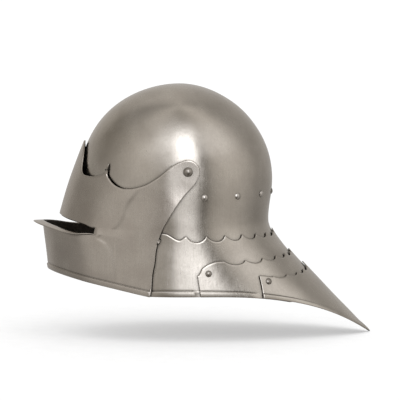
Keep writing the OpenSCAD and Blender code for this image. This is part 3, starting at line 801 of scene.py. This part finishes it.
# ---------------------------------------------------------------- lining
def tube(path, radius, sides=10, closed=True):
    """A round cord along a path. radius can be one number or one for each point."""
    path = np.asarray(path, float)
    count = len(path)
    radius = np.broadcast_to(radius, count)
    onward = (np.roll(path, -1, axis=0) - np.roll(path, 1, axis=0)) if closed else np.gradient(path, axis=0)
    onward = unit(onward)
    side = np.cross(onward[0], [0.3, 0.5, 0.81])
    frames = []
    for direction in onward:
        side = unit(side - np.dot(side, direction) * direction)
        frames.append((side, np.cross(direction, side)))
    points, faces = [], []
    for centre, r, (u, v) in zip(path, radius, frames):
        for k in range(sides):
            angle = 2 * math.pi * k / sides
            points.append(centre + r * (math.cos(angle) * u + math.sin(angle) * v))
    for i in range(count if closed else count - 1):
        following = (i + 1) % count
        shift = 0
        if closed and i == count - 1:
            first = points[0] - path[0]
            angles = [np.linalg.norm(points[i * sides + k] - path[i] - first) for k in range(sides)]
            shift = int(np.argmin(angles))
        for k in range(sides):
            a, b = i * sides + (k + shift) % sides, i * sides + (k + shift + 1) % sides
            faces.append([a, following * sides + k, following * sides + (k + 1) % sides, b])
    if not closed:
        faces.append(list(range(sides - 1, -1, -1)))
        faces.append([(count - 1) * sides + k for k in range(sides)])
    return np.array(points), faces


def stitches(path_point, first, last, pitch, length, radius=0.32):
    """A row of short stitches. path_point gives the place at a distance along the seam."""
    parts = []
    count = int((last - first) / pitch)
    for k in range(count):
        start = first + pitch * k
        ends = [np.asarray(path_point(start + length * t)) for t in (0, 0.15, 0.5, 0.85, 1)]
        size = [radius * 0.4, radius, radius * 1.1, radius, radius * 0.4]
        parts.append(tube(ends, size, sides=6, closed=False))
    return parts


def sew(name, parts, thread):
    join_points(name, parts, thread, "skull_body")


def make_band(leather, thread):
    turns = np.arange(0, 360, 1.5)
    heights = RIVET_Z + np.array([10, 9.8, 9.2, 8.2, 7, 5, 2.5, 0, -2.5, -5, -7, -8.2, -9.2, -9.8, -10])
    turn, z = np.meshgrid(turns, heights)
    groove = -0.3 * np.exp(-((abs(z - RIVET_Z) - 7.2) / 0.5) ** 2)
    level = level_of(turn, z)
    outer = form_offset(turn, level, BAND_OUT)
    inner = form_offset(turn, level, BAND_IN - groove)
    band = shell("lining_band_leather", outer, inner, leather, "skull_body", closed=True, bulge=0.8)
    slotted(band, "lining_band")
    parts = []
    for row in (RIVET_Z + 7.2, RIVET_Z - 7.2):
        def seam(turn, row=row):
            return form_offset(np.array(turn), level_of(turn, row), BAND_IN - 0.05)
        parts += stitches(seam, 0, 360, 2.4, 1.7)
    sew("lining_band_stitches", parts, thread)


CAP_OUT, CAP_IN = -8.0, -12.0
CAP_LOWEST = 1.45
GORES = 16
LACE_RADIUS = 22.0
QUILT_LEVELS = (0.30, 0.52, 0.74, 0.95, 1.16)


def quilt(turn, level):
    """0 on the quilting seams and 1 in the middle of the padding."""
    across = abs(sin(turn * GORES / 2))
    rows = np.array((0.12,) + QUILT_LEVELS + (1.36,))
    gap = np.min(abs(level[..., None] - rows), axis=-1)
    down = np.clip(gap / 0.11, 0, 1)
    room = smooth(0.04, 0.3, level)
    padded = (1 - (1 - across) ** 2.2) ** 0.6 * (1 - (1 - down) ** 2.4) ** 0.6
    return padded * mix(0.35, 1, room)


def wrinkles(turn, level, seed):
    """Small folds that run into the seams."""
    phase = np.sin(turn * 0.11 + seed) * 3 + np.sin(level * 7 + seed * 2) * 2
    return (0.5 * np.sin(level * 58 + phase + 0.8 * np.sin(turn * 0.9))
            + 0.5 * np.sin(turn * 1.7 + level * 19 + phase))


def make_cap(cloth, thread, leather):
    turns = np.arange(0, 360, 0.75)
    levels = np.concatenate([[0.0], np.linspace(0.012, CAP_LOWEST, 150)])
    turn, level = np.meshgrid(turns, levels)
    puff = quilt(turn, level)
    near_seam = 1 - smooth(0.25, 0.95, puff)
    fold = wrinkles(turn, level, 1.0)
    edge = smooth(CAP_LOWEST, CAP_LOWEST - 0.05, level)
    outer = form_point(turn, level) + (
        CAP_OUT - 1.3 + 1.2 * puff * edge)[..., None] * form_normal(turn, level)
    inner = form_point(turn, level) + (
        CAP_IN + 1.3 - (1.6 * puff + 0.16 * fold * (0.35 + near_seam)) * edge
    )[..., None] * form_normal(turn, level)
    cap = shell("liner_cap_quilted", outer, inner, cloth, "skull_body", closed=True, crowned=True,
                bulge=0.9)
    slotted(cap, "liner_cap")
    edge_path = form_offset(turns, np.full(len(turns), CAP_LOWEST), (CAP_OUT + CAP_IN) / 2)
    piping = join_points("liner_cap_binding", [tube(edge_path, 2.3, sides=14)], leather, "skull_body")
    parts = []
    for quilt_level in QUILT_LEVELS:
        def seam(turn, at=quilt_level):
            point = form_point(np.array(turn), np.array(at))
            return point + (CAP_IN + 1.15) * form_normal(np.array(turn), np.array(at))
        pitch = 2.0 / max(math.sin(min(quilt_level, 1) * math.pi / 2), 0.2)
        parts += stitches(seam, 0, 360, pitch, pitch * 0.62, radius=0.26)
    sew("liner_cap_stitches", parts, thread)


def make_lace(cord):
    low, high = box_mm("liner_lace")
    centre = (low + high) / 2
    parts = []
    angles = np.linspace(0, 2 * math.pi, 480, endpoint=False)
    for strand in (0, math.pi):
        twist = angles * 44 + strand
        wave = 0.45 * np.cos(angles * GORES)
        radius = LACE_RADIUS + 0.62 * np.cos(twist)
        path = np.stack([centre[0] + radius * np.cos(angles), centre[1] + radius * np.sin(angles),
                         centre[2] + wave + 0.62 * np.sin(twist)], axis=-1)
        parts.append(tube(path, 0.8, sides=8))
    lace = join_points("liner_lace_cord", parts, cord, "skull_body")
    slotted(lace, "liner_lace")


# ---------------------------------------------------------------- chin strap
LEATHER = 2.0
STRAP_LOW, STRAP_HIGH = box_mm("chin_strap_right")
STRAP_X = (STRAP_LOW[0] + STRAP_HIGH[0]) / 2
STRAP_WIDTH = STRAP_HIGH[0] - STRAP_LOW[0]
STRAP_Y = 94.0
STRAP_TOP = 104.0
_, BAR_Y, CHIN_Z = [MM * value for value in JOINTS["buckle_tongue_hinge"]["pos_m"]]
FRONT_BAR_Y = 5.0
BAR_RADIUS = 1.5
STRAP_HOLES_AT = (-28, -16, -4, 32, 41)
TONGUE_SLOT = (9.2, 24.2)


def strap_path(y):
    return CHIN_Z + (STRAP_TOP - 16 - CHIN_Z) * (abs(y) / (STRAP_Y - 1)) ** 8


def strap_low(y):
    """How far the left strap lies from the common path, where it threads the buckle."""
    dip = 5.9
    under = mix(-dip, -LEATHER - 0.4, smooth(28, 40, y))
    return mix(2.2, under, smooth(6.5, 18.5, y))


def dense_path(points):
    """The length of a path, the distance along it to each of its points, and a function that gives the place
    at a distance.
    """
    points = np.array(points, float)
    along = distances(points)

    def place(s):
        return np.stack([np.interp(s, along, points[:, k]) for k in range(2)], axis=-1)

    return along[-1], along, place


def strap_points(side, end_y, low):
    """The middle line of a strap in Y and Z, from its riveted end to end_y."""
    top = [[side * (STRAP_Y - 1), z] for z in np.linspace(STRAP_TOP, 92, 8)]
    ys = side * np.concatenate([np.linspace(STRAP_Y - 1.3, 80, 40), np.linspace(79, 40, 30)])
    ys = np.concatenate([ys, np.linspace(side * 39, end_y, 60)])
    curve_part = [[y, strap_path(y) + float(low(y)) + LEATHER / 2] for y in ys]
    points = np.array(top + curve_part)
    for _ in range(3):
        points[1:-1] = (points[:-2] + 2 * points[1:-1] + points[2:]) / 4
    return points


def strap_piece(name, points, side, material, holes=(), slot_span=None, tapered=False):
    """A flat strap with rounded edges, a burnished groove and any holes it needs."""
    length, _, place = dense_path(points)
    half = STRAP_WIDTH / 2
    hole_offsets = np.array([-1.5, -0.75, 0, 0.75, 1.5])
    rows = np.arange(0, length, 1.4)
    marks = [length - 0.02]
    for centre in holes:
        rows = rows[abs(rows - centre) > 2.1]
        marks.extend(centre + hole_offsets)
    if slot_span:
        rows = rows[(abs(rows - slot_span[0]) > 0.5) & (abs(rows - slot_span[1]) > 0.5)]
        marks.extend(slot_span)
    rows = np.array(sorted(list(rows) + marks))
    columns = np.array([-half, -half + 0.3, -half + 0.8, -half + 1.6, -half + 2.0, -half + 2.4, -4.4,
                        -2.2, -1.5, -0.75, 0, 0.75, 1.5, 2.2, 4.4, half - 2.4, half - 2.0,
                        half - 1.6, half - 0.8, half - 0.3, half])
    across, along = np.meshgrid(columns * -side, rows)
    for centre in holes:
        from_hole = np.hypot(across, along - centre)
        block = (np.maximum(abs(across), abs(along - centre)) > 1.49) & (
            np.maximum(abs(across), abs(along - centre)) < 1.51)
        scale = np.where(block, 1.6 / np.maximum(from_hole, 0.1), 1)
        across = across * scale
        along = centre + (along - centre) * scale
    if tapered:
        tip = np.clip((along - (length - 13)) / 13, 0, 1)
        across = across * (np.sqrt(np.maximum(1 - tip ** 3, 0)) * 0.92 + 0.08)
    centre_line = place(along)
    onward = unit(place(along + 0.6) - place(along - 0.6))
    normal = np.stack([np.zeros_like(across), -side * onward[..., 1], side * onward[..., 0]], axis=-1)
    middle = np.stack([STRAP_X + across, centre_line[..., 0], centre_line[..., 1]], axis=-1)
    edge = half - abs(columns)
    groove = -0.18 * np.exp(-((edge - 2.0) / 0.3) ** 2) - 0.35 * (1 - np.clip(edge / 0.9, 0, 1)) ** 2
    wave = 0.12 * np.sin(along / 7.0) * np.sin(across / 5.0 + 1)
    outer = middle + (LEATHER / 2 + groove[None, :] + wave)[..., None] * normal
    inner = middle + (-LEATHER / 2 - groove[None, :] + wave)[..., None] * normal
    present = np.ones((len(rows) - 1, len(columns) - 1), bool)
    mid_row = (rows[:-1] + rows[1:]) / 2
    mid_column = abs(columns[:-1] + columns[1:]) / 2
    for centre in holes:
        present[np.ix_(abs(mid_row - centre) < 1.5, mid_column < 1.5)] = False
    if slot_span:
        inside = (mid_row > slot_span[0]) & (mid_row < slot_span[1])
        present[np.ix_(inside, mid_column < 2.2)] = False
    strap = shell(name, outer, inner, material, "skull_body", present=present, bulge=0.8)
    return strap


def distance_at_y(points, y):
    """Distance along a strap's middle line to where it passes a given Y."""
    _, along, _ = dense_path(points)
    order = np.argsort(points[:, 0])
    return float(np.interp(y, points[order, 0], along[order]))


def strap_seams(name, points, side, first, last, thread):
    _, _, place = dense_path(points)
    parts = []
    for edge in (-1, 1):
        def seam(s, edge=edge):
            y, z = place(s)
            onward = unit(place(s + 0.6) - place(s - 0.6))
            out = side * LEATHER / 2 * np.array([-onward[1], onward[0]])
            return np.array([STRAP_X + edge * (STRAP_WIDTH / 2 - 2.0), y + out[0], z + out[1]])
        parts += stitches(seam, first, last, 3.6, 2.6, radius=0.3)
    sew(name, parts, thread)


def make_straps(leather, thread):
    left = strap_points(-1, 60, strap_low)
    holes = [distance_at_y(left, y) for y in STRAP_HOLES_AT]
    slot_span = [distance_at_y(left, y) for y in TONGUE_SLOT]
    piece = strap_piece("chin_strap_tongued", left, -1, leather, holes, slot_span, tapered=True)
    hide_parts("chin_strap_left")
    end = distance_at_y(left, -36)
    strap_seams("chin_strap_tongued_stitches", left, -1, 20, end, thread)

    right = strap_points(1, BAR_Y + 3.1, lambda y: 0.0)
    piece = strap_piece("chin_strap_buckled", right, 1, leather)
    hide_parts("chin_strap_right")
    make_buckle_loops(leather)
    strap_seams("chin_strap_buckled_stitches", right, 1, 20, distance_at_y(right, 56), thread)


def make_buckle_loops(leather):
    """The strap's end, split in two round the buckle's bar to leave room for the tongue."""
    radius = BAR_RADIUS + 0.2
    angles = np.linspace(-100, 262, 60)
    half = STRAP_WIDTH / 2
    for name, low, high in (("buckle_loop_left", -half, -3.0), ("buckle_loop_right", 3.0, half)):
        columns = np.array([low, low + 0.3, low + 1, (low + high) / 2, high - 1, high - 0.3, high])
        across, turn = np.meshgrid(columns, angles)
        ring = np.stack([np.zeros_like(across), cos(turn), sin(turn)], axis=-1)
        centre = np.array([STRAP_X, BAR_Y, CHIN_Z])
        side = across[..., None] * np.array([1.0, 0, 0])
        outer = centre + side + (radius + LEATHER) * ring
        inner = centre + side + radius * ring
        loop = shell(name, outer[::-1], inner[::-1], leather, "skull_body", bulge=0.8)


def rounded_path(half_x, y_low, y_high, z, corner, steps=8):
    points = []
    for sx, y, start in ((1, y_high, 0), (-1, y_high, 90), (-1, y_low, 180), (1, y_low, 270)):
        cx = STRAP_X + sx * (half_x - corner)
        cy = y - corner if y == y_high else y + corner
        for k in range(steps + 1):
            angle = start + 90 * k / steps
            points.append([cx + corner * cos(angle), cy + corner * sin(angle), z])
    return np.array(points)


def make_buckle(brass):
    path = rounded_path((STRAP_WIDTH + 5) / 2, FRONT_BAR_Y, BAR_Y, CHIN_Z, 2.6)
    swell = 1 + 0.16 * np.clip((BAR_Y - 3 - path[:, 1]) / 9, 0, 1)
    frame_piece = join_points("buckle_frame_brass", [tube(path, BAR_RADIUS * swell, sides=16)], brass,
                              "skull_body")
    slotted(frame_piece, "buckle_frame")
    eye = BAR_RADIUS + 0.06
    profile = [(eye, 0.3), (eye + 0.3, 0), (eye + 0.9, 0), (eye + 1.2, 0.3), (eye + 1.2, 3.3),
               (eye + 0.9, 3.6), (eye + 0.3, 3.6), (eye, 3.3), (eye, 0.3)]
    points, faces = turned(profile, 40)
    points = np.array([STRAP_X - 1.8, BAR_Y, CHIN_Z]) + points @ facing(np.array([1.0, 0, 0])).T
    pin_z = CHIN_Z - BAR_RADIUS - 0.9 - 0.15
    y = np.linspace(BAR_Y - 0.5, FRONT_BAR_Y - 1.9, 24)
    share = np.linspace(0, 1, 24)
    pin = np.stack([np.full(24, STRAP_X), y, pin_z + 0.25 * np.sin(share * math.pi)], axis=-1)
    radius = mix(1.0, 0.72, share) * np.sqrt(np.clip((1.03 - share) / 0.12, 0.1, 1))
    tongue = join_points("buckle_tongue_brass", [(points, faces), tube(pin, radius, 12, closed=False)],
                         brass, "tongue_body")
    slotted(tongue, "buckle_tongue")


def make_keeper(leather, thread):
    low, high = box_mm("strap_keeper")
    centre = (low + high) / 2
    size = (high - low) / 2
    ys = np.array([-1, -0.9, -0.7, -0.35, 0, 0.35, 0.7, 0.9, 1]) * size[1]
    phi = np.linspace(0, 360, 72, endpoint=False)

    def ring(a, b):
        angle = np.arctan2(b * sin(phi), a * cos(phi))
        r = (abs(np.cos(angle) / a) ** 9 + abs(np.sin(angle) / b) ** 9) ** (-1 / 9)
        x, z = r * np.cos(angle), r * np.sin(angle)
        return np.stack([np.stack([centre[0] + x, np.full(72, centre[1] + y), centre[2] + z], axis=-1)
                         for y in ys])

    wall = 1.5
    edge = np.array([0.4, 0.1, 0, 0, 0, 0, 0, 0.1, 0.4])[:, None, None]
    outer = ring(size[0], size[2])
    inner = ring(size[0] - wall, size[2] - wall)
    outer = outer - edge * unit(outer - inner)
    keeper = shell("strap_keeper_loop", outer, inner, leather, "skull_body", closed=True, bulge=0.7)
    slotted(keeper, "strap_keeper")
    parts = []
    for y in (-1.6, 1.6):
        def seam(s, y=y):
            return np.array([centre[0] + s, centre[1] + y, low[2] - 0.05])
        parts += stitches(seam, -5, 5, 2.5, 1.8, radius=0.28)
    sew("strap_keeper_stitches", parts, thread)


# ---------------------------------------------------------------- materials
class Shader:
    """Small helper for building one material's nodes."""

    def __init__(self, name):
        self.material = bpy.data.materials.new(name)
        self.material.use_nodes = True
        self.tree = self.material.node_tree
        self.base = self.tree.nodes["Principled BSDF"]
        self.coords = self.add("ShaderNodeTexCoord").outputs["Object"]

    def add(self, kind, **settings):
        made = self.tree.nodes.new(kind)
        for key, value in settings.items():
            setattr(made, key, value)
        return made

    def feed(self, target, value):
        if isinstance(value, bpy.types.NodeSocket):
            self.tree.links.new(value, target)
        else:
            target.default_value = value

    def stretched(self, scale):
        mapping = self.add("ShaderNodeMapping")
        self.feed(mapping.inputs["Vector"], self.coords)
        self.feed(mapping.inputs["Scale"], scale)
        return mapping.outputs[0]

    def noise(self, scale, detail=4.0, roughness=0.55, stretch=(1, 1, 1), distortion=0.0):
        made = self.add("ShaderNodeTexNoise")
        self.feed(made.inputs["Vector"], self.stretched(stretch))
        for key, number in (("Scale", scale), ("Detail", detail), ("Roughness", roughness),
                            ("Distortion", distortion)):
            self.feed(made.inputs[key], number)
        return made.outputs[0]

    def ramp(self, value, stops):
        made = self.add("ShaderNodeValToRGB")
        self.feed(made.inputs["Fac"], value)
        elements = made.color_ramp.elements
        while len(elements) < len(stops):
            elements.new(0.5)
        for element, (position, color) in zip(elements, stops):
            element.position = position
            element.color = (*color, 1) if len(color) == 3 else color
        return made.outputs[0]

    def math(self, operation, *values, clamp=False):
        made = self.add("ShaderNodeMath", operation=operation, use_clamp=clamp)
        for socket, value in zip(made.inputs, values):
            self.feed(socket, value)
        return made.outputs[0]

    def span(self, value, low, high, to_low, to_high):
        made = self.add("ShaderNodeMapRange")
        for key, number in (("Value", value), ("From Min", low), ("From Max", high),
                            ("To Min", to_low), ("To Max", to_high)):
            self.feed(made.inputs[key], number)
        return made.outputs[0]

    def blend(self, share, a, b, mode="MIX"):
        made = self.add("ShaderNodeMix", data_type="RGBA", blend_type=mode)
        self.feed(made.inputs[0], share)
        self.feed(made.inputs[6], a if isinstance(a, bpy.types.NodeSocket) else (*a, 1))
        self.feed(made.inputs[7], b if isinstance(b, bpy.types.NodeSocket) else (*b, 1))
        return made.outputs[2]

    def bump(self, height, distance, strength, onto=None):
        made = self.add("ShaderNodeBump")
        self.feed(made.inputs["Height"], height)
        self.feed(made.inputs["Distance"], distance)
        self.feed(made.inputs["Strength"], strength)
        if onto is not None:
            self.feed(made.inputs["Normal"], onto)
        return made.outputs[0]

    def edges(self, low=0.505, high=0.56):
        """1 along the sharp outer edges."""
        geometry = self.add("ShaderNodeNewGeometry")
        return self.span(geometry.outputs["Pointiness"], low, high, 0, 1)

    def painted_gap_shade(self, color, reach):
        """Paints shade into a colour where another surface lies close by: painted shade in the gaps between
        plates and under their edges.
        """
        near = self.add("ShaderNodeAmbientOcclusion", samples=6)
        self.feed(near.inputs["Distance"], reach)
        return self.blend(self.span(near.outputs["AO"], 0.5, 0.92, 0.97, 0), color, (0.012, 0.010, 0.008))

    def finish(self, color, roughness, normal=None, **values):
        self.feed(self.base.inputs["Base Color"], color)
        self.feed(self.base.inputs["Roughness"], roughness)
        if normal is not None:
            self.feed(self.base.inputs["Normal"], normal)
        for key, value in values.items():
            self.feed(self.base.inputs[key.replace("_", " ")], value)
        return self.material


def make_steel(name, dark, light, roughness=(0.17, 0.25), brushing=1.0):
    s = Shader(name)
    mottle = s.noise(26, detail=5, roughness=0.55, distortion=0.3)
    fine = s.noise(260, detail=4, roughness=0.65)
    brush = s.noise(620, detail=3, roughness=0.7, stretch=(1, 1, 0.035))
    color = s.ramp(mottle, [(0.3, dark), (0.72, light)])
    color = s.blend(s.span(fine, 0.45, 0.8, 0, 0.14), color, tuple(c * 0.72 for c in dark))
    color = s.blend(s.span(brush, 0.35, 0.7, 0, 0.16), color, tuple(c * 0.8 for c in dark))
    color = s.blend(s.math("MULTIPLY", s.edges(), 0.12), color, tuple(min(c * 1.25, 1) for c in light))
    # painted shade: darkens the steel in the gaps between plates and just above their edges
    color = s.painted_gap_shade(color, 0.005)
    rough = s.span(mottle, 0.3, 0.75, roughness[0], roughness[1])
    rough = s.math("ADD", rough, s.span(brush, 0.3, 0.7, -0.03, 0.05))
    rough = s.math("ADD", rough, s.span(fine, 0.3, 0.8, -0.02, 0.06), clamp=True)
    beaten = s.bump(s.noise(48, detail=2), 0.0006, 0.22)
    pitted = s.bump(fine, 0.00010, 0.20, beaten)
    brushed = s.bump(brush, 0.00006, 0.40 * brushing, pitted)
    return s.finish(color, rough, brushed, Metallic=1.0)


def make_leather():
    s = Shader("leather")
    patches = s.noise(45, detail=5, roughness=0.6)
    grain = s.add("ShaderNodeTexVoronoi", feature="DISTANCE_TO_EDGE")
    s.feed(grain.inputs["Vector"], s.stretched((1, 1, 1)))
    s.feed(grain.inputs["Scale"], 900)
    creases = s.noise(240, detail=6, roughness=0.7)
    color = s.ramp(patches, [(0.25, (0.052, 0.022, 0.010)), (0.55, (0.10, 0.045, 0.02)),
                             (0.8, (0.17, 0.082, 0.038))])
    color = s.blend(s.math("MULTIPLY", s.edges(), 0.6), color, (0.26, 0.14, 0.07))
    color = s.blend(s.span(creases, 0.55, 0.75, 0, 0.5), color, (0.03, 0.014, 0.008))
    rough = s.span(patches, 0.3, 0.75, 0.42, 0.66)
    bump = s.bump(s.span(grain.outputs["Distance"], 0, 0.25, 0, 1), 0.00022, 0.55)
    bump = s.bump(creases, 0.0003, 0.45, bump)
    return s.finish(color, rough, bump)


def make_linen():
    s = Shader("linen")
    stain = s.noise(28, detail=5, roughness=0.6)
    weave_x = s.noise(900, detail=2, stretch=(1, 0.09, 0.6))
    weave_y = s.noise(900, detail=2, stretch=(0.09, 1, 0.6))
    weave_z = s.noise(900, detail=2, stretch=(1, 1, 0.06))
    weave = s.math("ADD", s.math("MAXIMUM", weave_x, weave_y), weave_z)
    color = s.ramp(stain, [(0.25, (0.40, 0.32, 0.215)), (0.5, (0.56, 0.475, 0.345)),
                           (0.8, (0.66, 0.58, 0.45))])
    color = s.blend(s.span(weave, 0.8, 1.3, 0.35, 0), color, (0.27, 0.205, 0.13))
    bump = s.bump(weave, 0.0003, 0.5)
    bump = s.bump(s.noise(180, detail=4), 0.0006, 0.3, bump)
    made = s.finish(color, s.span(stain, 0.3, 0.7, 0.82, 0.95), bump)
    s.feed(s.base.inputs["Sheen Weight"], 0.25)
    return made


def make_thread():
    s = Shader("waxed_thread")
    fibre = s.noise(1600, detail=3, stretch=(1, 1, 0.3))
    color = s.ramp(fibre, [(0.3, (0.42, 0.33, 0.20)), (0.7, (0.68, 0.57, 0.39))])
    return s.finish(color, s.span(fibre, 0.3, 0.7, 0.6, 0.8), s.bump(fibre, 0.0001, 0.6))


def make_brass():
    s = Shader("brass")
    tarnish = s.noise(160, detail=5, roughness=0.65)
    scratches = s.noise(900, detail=3, stretch=(1, 0.08, 1))
    color = s.ramp(tarnish, [(0.3, (0.30, 0.18, 0.06)), (0.62, (0.62, 0.42, 0.15))])
    color = s.blend(s.edges(), color, (0.82, 0.62, 0.28))
    rough = s.span(tarnish, 0.3, 0.7, 0.46, 0.26)
    bump = s.bump(scratches, 0.00006, 0.35, s.bump(tarnish, 0.0002, 0.25))
    return s.finish(color, rough, bump, Metallic=1.0)


# ---------------------------------------------------------------- floor, light and camera
def make_floor(z):
    s = Shader("floor_paper")
    fibre = s.noise(60, detail=5)
    color = s.ramp(fibre, [(0.3, (0.53, 0.53, 0.53)), (0.7, (0.56, 0.56, 0.56))])
    made = s.finish(color, 0.9, s.bump(fibre, 0.0004, 0.2), Emission_Strength=0.42)
    s.feed(s.base.inputs["Emission Color"], (1.0, 1.0, 1.0, 1))
    size = 60.0
    mesh = bpy.data.meshes.new("floor")
    mesh.from_pydata([(-size, -size, z), (size, -size, z), (size, size, z), (-size, size, z)], [],
                     [[0, 1, 2, 3]])
    floor = bpy.data.objects.new("floor", mesh)
    bpy.context.scene.collection.objects.link(floor)
    mesh.materials.append(made)
    floor.visible_glossy = False


# Brightness of the studio round the helmet: 0 faces the camera's side, + is towards the tail
WALLS_ROUND = [
    (-180, 0.62), (-132, 0.56), (-112, 0.40), (-80, 0.46), (-55, 0.64), (-35, 0.66), (-14, 0.50),
    (20, 0.56), (38, 0.67), (60, 0.74), (85, 0.61), (110, 0.41), (135, 0.46), (180, 0.62)]
WALLS_UP = [(-90, 0.65), (-30, 0.65), (-12, 0.78), (2, 0.98), (50, 1.0), (90, 1.15)]
TALL_BOX_ROUND = [(-180, 0), (-30, 0), (-9, 0.05), (-4, 0.45), (0, 1), (18, 1), (22, 0.6), (25.5, 0),
                  (60, 0), (180, 0)]
TALL_BOX_UP = [(-90, 0), (-35, 0.0), (-15, 0.22), (-6, 0.62), (2, 1.45), (12, 1.95), (28, 1.9), (36, 1.3),
               (46, 0.35), (58, 0), (90, 0)]
GAP_ROUND = [(-180, 0), (16, 0), (22, 0.25), (26, 0.9), (31, 1), (36, 0.35), (44, 0), (180, 0)]
GAP_UP = [(-90, 0.5), (-10, 0.6), (6, 0.56), (22, 0.42), (38, 0.1), (50, 0), (90, 0)]
HIGH_BOX_ROUND = [(-180, 0), (-60, 0), (-40, 0.12), (-22, 0.66), (0, 1), (20, 0.9), (32, 0.4), (60, 0.3),
                  (90, 0.05), (120, 0), (180, 0)]
HIGH_BOX_UP = [(-90, 0), (6, 0), (18, 0.6), (32, 1), (42, 0.75), (56, 0.15), (70, 0), (90, 0)]


def ramp_curve(tree, value, keys, low, high, top):
    """A smooth brightness curve made with a float curve node."""
    node = tree.nodes.new("ShaderNodeFloatCurve")
    tree.links.new(value, node.inputs["Value"])
    line = node.mapping.curves[0]
    spots = [((at - low) / (high - low), level / top) for at, level in keys]
    while len(line.points) < len(spots):
        line.points.new(0.5, 0.5)
    for point, (x, y) in zip(line.points, spots):
        point.location = (x, y)
    node.mapping.update()
    return node.outputs[0]


def make_world():
    scene = bpy.context.scene
    world = bpy.data.worlds.new("studio")
    world.use_nodes = True
    scene.world = world
    tree = world.node_tree
    background = tree.nodes["Background"]
    coords = tree.nodes.new("ShaderNodeTexCoord")
    split = tree.nodes.new("ShaderNodeSeparateXYZ")
    tree.links.new(coords.outputs["Generated"], split.inputs[0])

    def calc(operation, *values):
        node = tree.nodes.new("ShaderNodeMath")
        node.operation = operation
        for socket, value in zip(node.inputs, values):
            if isinstance(value, bpy.types.NodeSocket):
                tree.links.new(value, socket)
            else:
                socket.default_value = value
        return node.outputs[0]

    def profile(value, keys, half_span):
        top = 2.0
        return calc("MULTIPLY", ramp_curve(tree, value, keys, -half_span, half_span, top), top)

    x, y, z = split.outputs
    turn = calc("ADD", calc("DIVIDE", calc("ARCTAN2", x, calc("MULTIPLY", y, -1.0)), 2 * math.pi), 0.5)
    rise = calc("ADD", calc("DIVIDE", calc("ARCSINE", z), math.pi), 0.5)
    walls = calc("MULTIPLY", profile(turn, WALLS_ROUND, 180), profile(rise, WALLS_UP, 90))
    tall_box = calc("MULTIPLY", profile(turn, TALL_BOX_ROUND, 180), profile(rise, TALL_BOX_UP, 90))
    high_box = calc("MULTIPLY", profile(turn, HIGH_BOX_ROUND, 180), profile(rise, HIGH_BOX_UP, 90))
    dark_gap = calc("MULTIPLY", profile(turn, GAP_ROUND, 180), profile(rise, GAP_UP, 90))
    walls = calc("MULTIPLY", walls, calc("SUBTRACT", 1.0, dark_gap))
    boxes = calc("ADD", tall_box, high_box)
    path = tree.nodes.new("ShaderNodeLightPath")
    mirrored = path.outputs["Is Glossy Ray"]
    lit = calc("SUBTRACT", 1.0, mirrored)
    colour = tree.nodes.new("ShaderNodeCombineColor")
    for socket, wall_tint, box_tint in zip(colour.inputs, (1.0, 0.98, 0.965), (1.0, 1.05, 1.16)):
        seen = calc("ADD", calc("MULTIPLY", walls, wall_tint), calc("MULTIPLY", boxes, box_tint))
        tree.links.new(calc("ADD", calc("MULTIPLY", seen, mirrored), lit), socket)
    tree.links.new(colour.outputs[0], background.inputs["Color"])


def make_sun():
    """Lights the floor and the lining; the steel only mirrors the studio."""
    data = bpy.data.lights.new("soft_sun", "SUN")
    data.energy = 0.5
    data.angle = math.radians(50)
    sun = bpy.data.objects.new("soft_sun", data)
    sun.rotation_euler = (math.radians(16), math.radians(10), 0)
    sun.visible_glossy = False
    bpy.context.scene.collection.objects.link(sun)


def make_camera():
    elevation, distance, frame_width, sensor = 5.5, 4.0, 0.540, 36.0
    target = Vector((0.0257, 0.0, 0.1182))
    data = bpy.data.cameras.new("camera")
    data.sensor_width = sensor
    data.lens = sensor * distance / frame_width
    data.clip_end = 100.0
    camera = bpy.data.objects.new("camera", data)
    back = Vector((0.0, -cos(elevation), sin(elevation)))
    camera.location = target + back * distance
    camera.rotation_euler = (-back).to_track_quat("-Z", "Y").to_euler()
    bpy.context.scene.collection.objects.link(camera)
    bpy.context.scene.camera = camera


# ---------------------------------------------------------------- the helmet
def build():
    plate = make_steel("satin_steel", (0.48, 0.435, 0.375), (0.60, 0.55, 0.48))
    # the visor's steel is a slightly darker copy of the plate steel: painted shade for the visor catching
    # less light at its angle; it is also a little rougher
    visor = make_steel("visor_steel", (0.47, 0.42, 0.365), (0.57, 0.52, 0.455), (0.20, 0.29))
    pivot = make_steel("pivot_steel", (0.28, 0.25, 0.215), (0.44, 0.40, 0.35), (0.20, 0.34), 0.4)
    rivet = make_steel("rivet_steel", (0.48, 0.44, 0.39), (0.66, 0.61, 0.55), (0.16, 0.28), 0.4)
    # much darker copy of the plate steel for inner faces, washers, rivet backs and strap rivets: a dull rough
    # finish, and painted shade for the helmet's inside and the gaps between plates
    dull_steel_and_shade = make_steel("dull_steel", (0.06, 0.052, 0.044), (0.13, 0.115, 0.10), (0.45, 0.62), 0.4)
    leather, linen, thread, brass = make_leather(), make_linen(), make_thread(), make_brass()
    for make, node, steel in ((make_skull, "skull", plate), (make_visor, "visor", visor),
                              (make_lame_1, "lame_1", plate), (make_lame_2, "lame_2", plate),
                              (make_tail, "tail_plate", plate)):
        slotted(make((steel, dull_steel_and_shade)), node)
    make_pivots(pivot, dull_steel_and_shade)
    make_plate_rivets(pivot, dull_steel_and_shade)
    make_lining_rivets(rivet, dull_steel_and_shade)
    make_strap_rivets(dull_steel_and_shade)
    make_band(leather, thread)
    make_cap(linen, thread, leather)
    make_lace(thread)
    make_straps(leather, thread)
    make_buckle(brass)
    make_keeper(leather, thread)


build()
low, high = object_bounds()
make_floor(low[2] - 0.0005)
make_world()
make_sun()
make_camera()
bpy.context.scene.view_settings.view_transform = "Standard"
